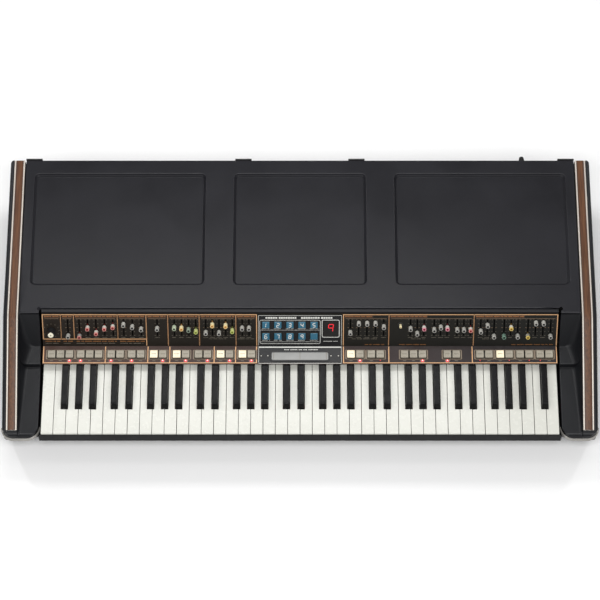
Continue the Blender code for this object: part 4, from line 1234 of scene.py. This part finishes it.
def square_cap(size, low, high, dish):
    """A square cap with its skirt in painted shade (look 1), sloping edges and a slightly dished top."""
    loops = (
        (0.0, low), (0.0, high - 0.0026), (0.0006, high - 0.0010), (0.0009, high - 0.0004),
        (0.0014, high), (0.0020, high), (0.0034, high - dish * 0.6), (0.0050, high - dish),
    )
    steps = 3
    shape = stacked(size, loops, 0.0013, 0.2, steps)
    skirt = 2 * 4 * (steps + 1)
    shape.looks[:skirt] = [1] * skirt
    return shape


def make_buttons():
    """The push buttons with their bezels, lamps and labels."""
    cap = square_cap(BUTTON_SIZE, -BUTTON_BELOW, BUTTON_HEIGHT, 0.0004)
    for x0, x1 in ((-0.0044, -0.0026), (-0.0020, -0.0004), (0.0002, 0.0022), (0.0028, 0.0044)):
        cap.add(block((x0, -0.0006, BUTTON_HEIGHT - 0.0003), (x1, 0.0006, BUTTON_HEIGHT - 0.00022)), look=2)
    lamp = turned(
        (
            (0.0021, LIFT), (0.0021, 0.0003), (0.0018, 0.0006), (0.0018, 0.0011),
            (0.0013, 0.0018), (0.0007, 0.0022), (0.0, 0.0023),
        ),
        20, (1, 1, 1, 1, 0, 0),
    )
    # Painted glow: the lamp's red light on the paint round its foot is painted as glowing discs, fainter
    # outwards.
    painted_glow = turned(
        ((0.0050, LIFT), (0.0050, 0.00004), (0.0040, 0.00005), (0.0030, 0.00006), (0.0, 0.00007)),
        24, (2, 2, 3, 4),
    )
    label = block((-0.0030, -0.0005, LIFT), (0.0030, 0.0005, INK))
    still, bezels, bright, dim, labels = (Shape() for _ in range(5))
    for group, (middle, items) in enumerate(BUTTON_GROUPS):
        wide = (len(items) - 1) * BUTTON_PITCH + BUTTON_SIZE[0]
        hole = rounded_rect(wide + 0.0008, BUTTON_SIZE[1] + 0.0008, 0.0012)
        rim = rounded_rect(wide + 0.0060, BUTTON_SIZE[1] + 0.0036, 0.0024)
        bezels.add(ring_of(rim, hole, LIFT, 0.0018, 0.0006), ledge_frame(middle, BUTTON_Y))
        for item, state in enumerate(items):
            kind, light = state.split()
            x = middle + (item - (len(items) - 1) / 2) * BUTTON_PITCH
            made = cap.at(ledge_frame(x, BUTTON_Y))
            if (group, item) in MOVING_BUTTONS:
                name = f"button_{MOVING_BUTTONS.index((group, item)) + 1}"
                piece(f"{name}_cap", made, [CAP, CAP_SIDE_SHADE, CAP_TEXT], name, [name])
            else:
                if kind == "lit":
                    made.looks = [look or 3 for look in made.looks]
                still.add(made)
            under = ledge_frame(x, LAMP_Y)
            if light == "bright":
                bright.add(lamp, under).add(painted_glow, under)
            elif light == "dim":
                dim.add(lamp, under)
            else:
                labels.add(label, under)
    piece("buttons_still", still, [CAP, CAP_SIDE_SHADE, CAP_TEXT, CAP_LIT])
    piece("button_bezels", bezels, [BEZEL])
    piece("button_labels", labels, [GREY_INK])
    piece("lamps_bright", bright, [LAMP_BRIGHT, LAMP_RIM, *PAINTED_LAMP_GLOW])
    piece("lamps_dim", dim, [LAMP_DIM, BLACK_PLASTIC])


# Strokes of each figure, as segments of a seven-bar display: top, upper left, upper right,
# middle, lower left, lower right, bottom.
FIGURES = {
    1: "U L", 2: "T UR M LL B", 3: "T UR M LR B", 4: "UL UR M LR", 5: "T UL M LR B",
    6: "T UL M LL LR B", 7: "T UR LR", 8: "T UL UR M LL LR B", 9: "T UL UR M LR",
}


def figure(number, wide, tall, stroke, thick):
    """A figure drawn with straight strokes, about its middle."""
    half, step = wide / 2, tall / 2
    places = {
        "T": (0, step), "M": (0, 0), "B": (0, -step), "UL": (-half, step / 2), "UR": (half, step / 2),
        "LL": (-half, -step / 2), "LR": (half, -step / 2), "U": (0, step / 2), "L": (0, -step / 2),
    }
    shape = Shape()
    for name in FIGURES[number].split():
        flat = name in "TMB"
        end = (wide if flat else step) / 2 - stroke * 0.12
        side, near = stroke / 2, end - stroke / 2
        outline = [(-end, 0), (-near, -side), (near, -side), (end, 0), (near, side), (-near, side)]
        if not flat:
            outline = [(b, -a) for a, b in outline]
        shape.add(prism(outline, 0.0, thick), Matrix.Translation((*places[name], 0)))
    return shape.at(Matrix(((1, 0.12, 0, 0), (0, 1, 0, 0), (0, 0, 1, 0), (0, 0, 0, 1))))


def make_presets():
    """The ten preset keys, nine of them with a figure."""
    cap = square_cap(PRESET_SIZE, -PRESET_BELOW, PRESET_HEIGHT, 0.0002)
    still, digits = Shape(), {}
    for column, x in enumerate(PRESET_X):
        for row, down in enumerate(PRESET_ROWS):
            place = panel_frame(x, down)
            name = "case"
            if (column, row) in MOVING_PRESETS:
                name = f"preset_{MOVING_PRESETS.index((column, row)) + 1}"
                piece(f"{name}_cap", cap.at(place), [TEAL, CAP_SIDE_SHADE], name, [name])
            else:
                still.add(cap, place)
            value = column + 1 + 5 * row
            if value in FIGURES:
                shape = figure(value, 0.0046, 0.0086, 0.0014, 0.0003)
                top = place @ Matrix.Translation((0, 0, PRESET_HEIGHT - 0.0001))
                digits.setdefault(name, Shape()).add(shape, top)
    for name, shape in digits.items():
        piece(f"{name}_figures", shape, [WHITE_INK], name)
    piece("presets_still", still, [TEAL, CAP_SIDE_SHADE])


def outline_frame(x0, down0, x1, down1, radius, line):
    """A printed rounded outline on the slider panel."""
    middle = ((x0 + x1) / 2, -(down0 + down1) / 2)
    wide, tall = x1 - x0, down1 - down0
    outer = rounded_rect(wide, tall, radius, 6, middle)
    inner = rounded_rect(wide - 2 * line, tall - 2 * line, max(radius - line, 0.0004), 6, middle)
    return ring_of(outer, inner, LIFT, INK, 0.00002).at(panel_frame(0.0, 0.0))


def make_centre_printing():
    """Outlines and labels of the centre module, on its slope and on its ledge."""
    rng = random.Random(3)
    white = Shape()
    edge, line = 0.0798, 0.0006
    top, bottom = 0.0036, PANEL_LENGTH - 0.0016
    front, back = LEDGE_FRONT[0] + 0.0030, PANEL_FOLD[0] - 0.0010
    for x in (-edge, edge - line):
        white.add(bar(x, top, x + line, bottom)).add(ledge_bar(x, front, x + line, back))
    white.add(bar(-edge, top, edge, top + line))
    white.add(ledge_bar(-edge, -0.1022, edge, -0.1000))
    white.add(ledge_bar(-edge, LEDGE_FRONT[0] + 0.0010, edge, LEDGE_FRONT[0] + 0.0018))
    for x0, x1 in ((-0.066, -0.006), (0.002, 0.062)):
        panel_words(white, rng, x0, x1, 0.0092, 0.0042, (0.0030, 0.0042))
    white.add(outline_frame(-0.0774, 0.0140, 0.0393, 0.0680, 0.0040, 0.0008))
    left, right = DISPLAY[0] - 0.0012, DISPLAY[1] + 0.0012
    white.add(outline_frame(left, 0.0136, right, 0.0536, 0.0036, 0.0012))
    for down in (0.0340, 0.0598):
        for x in PRESET_X:
            panel_words(white, rng, x - 0.0075, x + 0.0078, down, 0.0014, (0.0007, 0.0014))
    for down in (0.0367, 0.0631):
        white.add(bar(-0.0760, down, 0.0380, down + 0.0004))
    panel_words(white, rng, 0.0450, 0.0720, 0.0622, 0.0016, (0.0010, 0.0016))
    ledge_words(white, rng, -0.030, 0.034, -0.1073, 0.0021, (0.0012, 0.0020))
    piece("centre_printing", white, [WHITE_INK])


def make_centre():
    """The lit figure, the touch ribbon with its frame and marks, and four screws."""
    low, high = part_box("ribbon")
    place = ledge_frame(0.0, (low.y + high.y) / 2)
    marks = Shape()
    for x in (low.x + 0.004, high.x - 0.004, 0.0):
        marks.add(block((x - 0.0004, -0.0072, 0.0026), (x + 0.0004, 0.0072, 0.0028)), place)
    piece("centre_labels", marks, [GREY_INK])
    wide, tall = high.x - low.x, 0.0160
    loops = ((0.0, 0.0003), (0.0, 0.0015), (0.0006, 0.0021), (0.0018, 0.0024), (0.0040, 0.0026))
    strip = stacked((wide, tall), loops, 0.0030, 0.5, 5)
    piece("ribbon_strip", strip.at(place), [RIBBON], "case", ["ribbon"])
    outer = rounded_rect(wide + 0.0050, tall + 0.0044, 0.0040)
    inner = rounded_rect(wide + 0.0006, tall + 0.0006, 0.0030)
    piece("ribbon_frame", ring_of(outer, inner, LIFT, 0.0014).at(place), [BLACK_PLASTIC])
    middle = panel_frame((DISPLAY[0] + DISPLAY[1]) / 2, 0.0325, -0.0007)
    piece("figure_lit", figure(9, 0.0090, 0.0160, 0.0015, 0.0003).at(middle), [SEGMENT])
    screw = turned(((0.0015, LIFT), (0.0015, 0.0004), (0.0011, 0.0009), (0.0, 0.0010)), 16)
    screws = Shape()
    for x in (-0.0746, -0.0617, 0.0596, 0.0736):
        screws.add(screw, ledge_frame(x, -0.1195))
    piece("centre_screws", screws, [STEEL])


def make_knob():
    """The tuning knob: ribbed black skirt and a cream cap with a dimple."""
    place = panel_frame(KNOB_X, KNOB_DOWN)
    ribs, steps = 36, 144
    # Radius, height and depth of the ribs.
    levels = (
        (0.0030, -0.0090, 0), (0.0030, 0.0008, 0), (0.0078, 0.0008, 0), (0.0080, 0.0014, 0.00035),
        (0.0074, 0.0158, 0.00035), (0.0068, 0.0168, 0), (0.0056, 0.0170, 0),
    )
    rings = []
    for radius, height, depth in levels:
        ring = []
        for angle in (2 * math.pi * step / steps for step in range(steps)):
            here = radius - depth * (0.5 + 0.5 * math.cos(angle * ribs))
            ring.append((here * math.cos(angle), here * math.sin(angle), height))
        rings.append(ring)
    piece("knob_skirt", loft(rings).at(place), [BLACK_PLASTIC], "tune_knob", ["tune_knob"])
    cap = turned(
        (
            (0.0053, 0.0169), (0.0053, 0.0174), (0.0048, 0.0179), (0.0014, 0.0180),
            (0.0008, 0.0178), (0.0, 0.0176),
        ),
        36, (0, 0, 0, 1, 1),
    )
    cap.add(block((-0.0004, 0.0055, 0.0168), (0.0004, 0.0066, 0.0172), 0.0001))
    piece("knob_cap", cap.at(place), [CREAM, GREY_INK], "tune_knob")


# --- Rear ---------------------------------------------------------------------------------

BACKWARDS = Matrix.Rotation(-math.pi / 2, 4, "X")
PLATE_THICK = 0.0012


def rear_frame(x, z, out=0.0):
    """A frame on the rear panel: Z straight out of it, towards the back."""
    return Matrix.Translation((x, REAR_FACE + out, z)) @ BACKWARDS


def make_jacks():
    """Nine jacks on a plate, each with a printed mark."""
    plate = prism(rounded_rect(0.330, 0.044, 0.003), LIFT, PLATE_THICK, 0.0003)
    piece("jack_plate", plate.at(rear_frame(-0.260, 0.110)), [BLACK_PAINT])
    nut = turned(
        (
            (0.0064, 0.0), (0.0064, 0.0016), (0.0060, 0.0020), (0.0046, 0.0021), (0.0046, 0.0032),
            (0.0042, 0.0036), (0.0034, 0.0036), (0.0032, 0.0006), (0.0, 0.0006),
        ),
        36, (0, 0, 0, 0, 0, 0, 1, 1),
    )
    mark = block((-0.0070, -0.0003, 0.0), (0.0070, 0.0003, 0.0002))
    jacks, marks = Shape(), Shape()
    for x in (-0.400 + number * 0.035 for number in range(9)):
        jacks.add(nut, rear_frame(x, 0.110, PLATE_THICK))
        marks.add(mark, rear_frame(x, 0.1235, PLATE_THICK))
    # The hollow of each jack is near-black painted shade.
    piece("jacks", jacks, [STEEL, PAINTED_SHADE])
    piece("jack_marks", marks, [WHITE_INK])


def make_rear_screws():
    """Screws along the rear panel, in the jack plate and in the hinge leaf."""
    head = turned(((0.0032, 0.0), (0.0032, 0.0004), (0.0026, 0.0012), (0.0012, 0.0016), (0.0, 0.0017)), 20)
    slit = block((-0.0018, -0.0003, 0.0012), (0.0018, 0.0003, 0.00175))
    places = [(x, z) for x in (-0.52, -0.35, -0.17, 0.0, 0.17, 0.35, 0.52) for z in (0.020, 0.150)]
    places += [(x, z, PLATE_THICK) for x in (-0.418, -0.102) for z in (0.095, 0.125)]
    screws = Shape()
    for place in (rear_frame(*where) for where in places):
        screws.add(head, place).add(slit, place, 1)
        screws.add(slit, place @ Matrix.Rotation(math.pi / 2, 4, "Z"), 1)
    for x in (-0.50, -0.40, -0.30, -0.20, -0.05, 0.05, 0.20, 0.30, 0.40, 0.50):
        place = rear_frame(x, 0.1636, 0.0018)
        screws.add(head, place).add(slit, place, 1)
    # The slits across the screw heads are near-black painted shade.
    piece("rear_screws", screws, [STEEL, PAINTED_SHADE])


def make_gland():
    """The ribbed boot of the mains cord's gland, with no cord in it."""
    boot = [(0.0062, 0.0)]
    for step in range(5):
        wide, height = 0.0058 - 0.0003 * step, 0.0010 + 0.0018 * step
        boot += [(wide, height), (wide - 0.0008, height + 0.0004), (wide - 0.0008, height + 0.0012)]
    boot += [(0.0042, 0.0098), (0.0030, 0.0100), (0.0028, 0.0090), (0.0, 0.0090)]
    low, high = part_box("cord_gland")
    place = Matrix.Translation(((low.x + high.x) / 2, high.y - 0.0005, (low.z + high.z) / 2)) @ BACKWARDS
    piece("gland_boot", turned(boot).at(place), [RUBBER])


def make_switch():
    """The slide switch: its frame, its knob, and its housing inside the case."""
    low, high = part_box("power_switch")
    inner = min(low.y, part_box("rear_panel")[0].y) - 0.0005
    hole = rounded_rect(0.0182, 0.0086, 0.0008, 4)
    switch = ring_of(rounded_rect(0.030, 0.018, 0.002, 4), hole, LIFT, 0.0012)
    place = rear_frame(0.380, (low.z + high.z) / 2)
    piece("switch_frame", switch.at(place), [BLACK_PAINT])
    housing = block((0.362, inner - 0.0160, low.z - 0.0040), (0.398, inner, high.z + 0.0040), 0.0008)
    for x in (0.366, 0.374, 0.382, 0.390):
        tag = block((x, inner - 0.0200, 0.0985), (x + 0.0040, inner - 0.0155, 0.1015), 0.0002)
        housing.add(tag, look=1)
    piece("switch_housing", housing, [BLACK_PLASTIC, STEEL])
    half = (high - low) / 2
    knob = block((-half.x, -half.z, -half.y), (half.x, half.z, half.y), 0.0006)
    for x in (step * 0.0010 for step in range(-2, 3)):
        knob.add(block(
            (x - 0.0002, -half.z + 0.0006, half.y - 0.0001), (x + 0.0002, half.z - 0.0006, half.y + 0.0003),
        ))
    place = Matrix.Translation((low + high) / 2) @ BACKWARDS
    piece("switch_knob", knob.at(place), [BLACK_PLASTIC], "power_switch", ["power_switch"])


# --- Inside, seen with the lid open -------------------------------------------------------


def card_chip():
    """A chip with seven pins on each side (look 1)."""
    chip = block((-0.0100, -0.0033, 0.0), (0.0100, 0.0033, 0.0036), 0.0004)
    for x in (-0.0084 + step * 0.0028 for step in range(7)):
        for y in (-0.0036, 0.0036):
            pin = block((x - 0.0003, y - 0.0002, -0.0002), (x + 0.0003, y + 0.0002, 0.0020))
            chip.add(pin, look=1)
    return chip


def make_cards():
    """Voice cards that stand in sockets on the main board."""
    board_low, board_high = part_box("main_board")
    level = board_high.z
    cards, chips, cans, sockets, resistors = (Shape() for _ in range(5))
    chip = card_chip()
    can = turned(((0.0032, 0.0), (0.0032, 0.0098), (0.0028, 0.0104), (0.0, 0.0104)), 16, (0, 0, 1))
    stick = turned(
        ((0.0008, 0.0), (0.0012, 0.0006), (0.0010, 0.0032), (0.0012, 0.0058), (0.0008, 0.0064)), 8
    )
    on_card = Matrix.Rotation(math.pi / 2, 4, "Y")
    rng = random.Random(21)
    for number in range(24):
        x = board_low.x + 0.014 + number * 0.0295
        front, back = board_low.y + 0.020, board_high.y - 0.012
        cards.add(block((x - 0.0008, front, level + 0.0060), (x + 0.0008, back, level + 0.0900), 0.0002))
        sockets.add(block(
            (x - 0.0036, front - 0.004, level), (x + 0.0036, back + 0.004, level + 0.0105), 0.0005,
        ))
        for row, column in ((row, column) for row in range(3) for column in range(5)):
            spot = (x + 0.0008, front + 0.024 + column * 0.036, level + 0.026 + row * 0.024)
            place = Matrix.Translation(spot)
            if (row + column + number) % 4 == 3:
                cans.add(can, place @ on_card)
            else:
                chips.add(chip, place @ on_card @ Matrix.Rotation(math.pi / 2, 4, "Z"))
            for step in range(3):
                beside = (0.0014, 0.013 + 0.004 * step, 0.004 * rng.uniform(-1, 1) - 0.003)
                resistors.add(stick, place @ Matrix.Translation(beside), rng.randint(0, 2))
    piece("voice_cards", cards, [BOARD])
    piece("card_chips", chips, [BLACK_PLASTIC, STEEL])
    piece("card_cans", cans, [TEAL, STEEL])
    piece("card_sockets", sockets, [BLACK_PLASTIC])
    piece("card_resistors", resistors, [CREAM, TAPE, FELT])


def make_transformer():
    """A laminated core, its taped winding and four bolts."""
    low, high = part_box("transformer")
    middle = (low + high) / 2
    margin = Vector((0.001, 0.0205, 0.001))
    core = block(low + margin, high - margin - Vector((0, 0, 0.010)))
    for y in (low.y + 0.020 + step * 0.0039 for step in range(19)):
        core.add(block((low.x, y, low.z), (high.x, y + 0.0034, high.z - 0.010), 0.0002))
    winding = block((middle.x - 0.028, low.y, low.z + 0.008), (middle.x + 0.028, high.y, high.z), 0.004, 4)
    bolt = turned(((0.0040, 0.0), (0.0040, 0.0030), (0.0032, 0.0034), (0.0, 0.0034)), 6)
    bolts = Shape()
    for x in (middle.x - 0.037, middle.x + 0.037):
        for y in (middle.y - 0.030, middle.y + 0.030):
            bolts.add(bolt, Matrix.Translation((x, y, high.z - 0.010)))
    piece("transformer_core", core, [CORE], "case", ["transformer"])
    piece("transformer_winding", winding, [TAPE])
    piece("transformer_bolts", bolts, [STEEL])


def make_looms():
    """Wires from the transformer to the board, and along the front of the board."""
    low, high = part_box("transformer")
    board_low, board_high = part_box("main_board")
    level = board_high.z
    wire = arc((0.0, 0.0), 0.0011, 0, 315, 7)
    looms = Shape()
    for number in range(6):
        shift = 0.0026 * number
        start = Vector(((low.x + high.x) / 2 - 0.030 + shift, low.y - 0.001, low.z + 0.020))
        end = Vector((board_high.x - 0.010, board_low.y + 0.030 + shift, level + 0.002))
        path = []
        for t in (step / 16 for step in range(17)):
            sag = math.sin(math.pi * t)
            path.append(start.lerp(end, t * t * (3 - 2 * t)) + Vector((0, -0.030 * sag, 0.020 * sag)))
        looms.add(sweep(path, (0.3, 1, 0.2), wire), look=number % 4)
        y, z = board_low.y + 0.006 + shift * 0.7, level + 0.0030 + 0.0012 * (number % 2)
        path = [
            (board_low.x + 0.02 + step * 0.030, y + 0.0008 * math.sin(step * 1.3 + number), z)
            for step in range(24)
        ]
        looms.add(sweep(path, (0, 1, 0), wire), look=(number + 1) % 4)
    piece("looms", looms, [FELT, TAPE, TEAL, BLACK_PLASTIC])


def make_felt():
    """The felt strip that the keys come down on."""
    low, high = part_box("key_bed")
    front = (low.x + 0.002, KEY_FRONT_Y + 0.060, low.z + 0.0027)
    back = (high.x - 0.002, KEY_FRONT_Y + 0.075, low.z + 0.0060)
    piece("key_felt", block(front, back, 0.001), [FELT])


# --- Carried-over nodes -------------------------------------------------------------------


def dress(look, *nodes, rounding=0.0):
    """Gives CAD nodes a material, and rounds their edges a little."""
    for name in nodes:
        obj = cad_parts[name]
        obj.data.materials.clear()
        obj.data.materials.append(look)
        if rounding:
            soft_edges(obj, rounding, 40)


def dress_nodes():
    """Materials of the nodes that keep their CAD shape."""
    dress(BLACK_PAINT, "base_pan", "rear_panel", "key_slip", rounding=0.0003)
    dress(HINGE, "lid_hinge")
    dress(GREY_PAINT, "panel_rail")
    dress(PANEL, "control_panel")
    dress(CENTRE, "centre_panel")
    dress(GLASS, "display_window", rounding=0.0002)
    dress(BLACK_PAINT, "key_bed")
    dress(BOARD, "main_board")
    dress(BLACK_PLASTIC, "cord_gland")
    dress(RUBBER, "foot_1", "foot_2", "foot_3", "foot_4", rounding=0.0008)


# --- Stage --------------------------------------------------------------------------------


def make_floor():
    look = Look("pale_floor", 0.8)
    look.colour(look.ramp(look.noise(1.5), (0.3, (0.93, 0.93, 0.93)), (0.7, (0.95, 0.95, 0.95))))
    mesh = bpy.data.meshes.new("floor")
    mesh.from_pydata([(-12, -12, 0), (12, -12, 0), (12, 12, 0), (-12, 12, 0)], [], [(0, 1, 2, 3)])
    mesh.materials.append(look.made)
    floor = linked("floor", mesh)
    floor.location.z = -0.0003


def make_lights():
    """A white studio with soft boxes round it."""
    world = bpy.data.worlds.new("studio")
    world.use_nodes = True
    background = world.node_tree.nodes["Background"].inputs
    background["Color"].default_value = (1.0, 1.0, 1.0, 1.0)
    background["Strength"].default_value = 0.33
    bpy.context.scene.world = world
    # Soft boxes: place, where they aim, width, height and watts.
    boxes = (
        ((-0.12, 0.27, 1.08), (-0.12, -0.05, 0.18), 1.15, 0.20, 3.7),
        ((-1.7, -1.9, 2.6), (0, 0, 0.1), 1.4, 1.4, 18),
        ((1.7, -1.9, 2.6), (0, 0, 0.1), 1.4, 1.4, 16),
        ((0, -1.6, 3.2), (0, -0.1, 0.1), 1.2, 0.7, 54),
        ((0, 0.2, 5.0), (0, 0.2, 0), 3.0, 0.5, 12),
        ((-1.75, 1.35, 1.85), (0, 0.1, 0.15), 0.2, 0.45, 11),
        ((1.75, 1.35, 1.85), (0, 0.1, 0.15), 0.2, 0.45, 10),
        ((0, 2.9, 1.1), (0, 0, 0.15), 1.8, 0.12, 5),
    )
    for number, (place, aim, wide, tall, power) in enumerate(boxes):
        light = bpy.data.lights.new(f"soft_box_{number}", "AREA")
        light.shape, light.size, light.size_y, light.energy = "RECTANGLE", wide, tall, power
        holder = linked(f"soft_box_{number}", light)
        holder.location = place
        holder.rotation_euler = (Vector(aim) - Vector(place)).to_track_quat("-Z", "Y").to_euler()


def make_camera():
    camera = linked("camera", bpy.data.cameras.new("camera"))
    camera.data.lens, camera.data.sensor_width = 164.2, 36.0
    camera.data.clip_start, camera.data.clip_end = 0.1, 60.0
    camera.location = (0.0, -2.4939, 4.8167)
    camera.rotation_euler = (math.radians(28.0), 0.0, 0.0)
    bpy.context.scene.camera = camera
    bpy.context.scene.view_settings.view_transform = "Standard"


dress_nodes()
for tag, side in (("left", -1), ("right", 1)):
    make_cheek(tag, side)
    make_strips(tag, side)
    make_bead(tag, side)
    make_end_block(tag, side)
make_lid()
make_keys()
make_panel_printing()
make_ledge_printing()
make_sliders()
make_pin()
make_buttons()
make_presets()
make_centre_printing()
make_centre()
make_knob()
make_jacks()
make_rear_screws()
make_gland()
make_switch()
make_cards()
make_transformer()
make_looms()
make_felt()
make_floor()
make_lights()
make_camera()
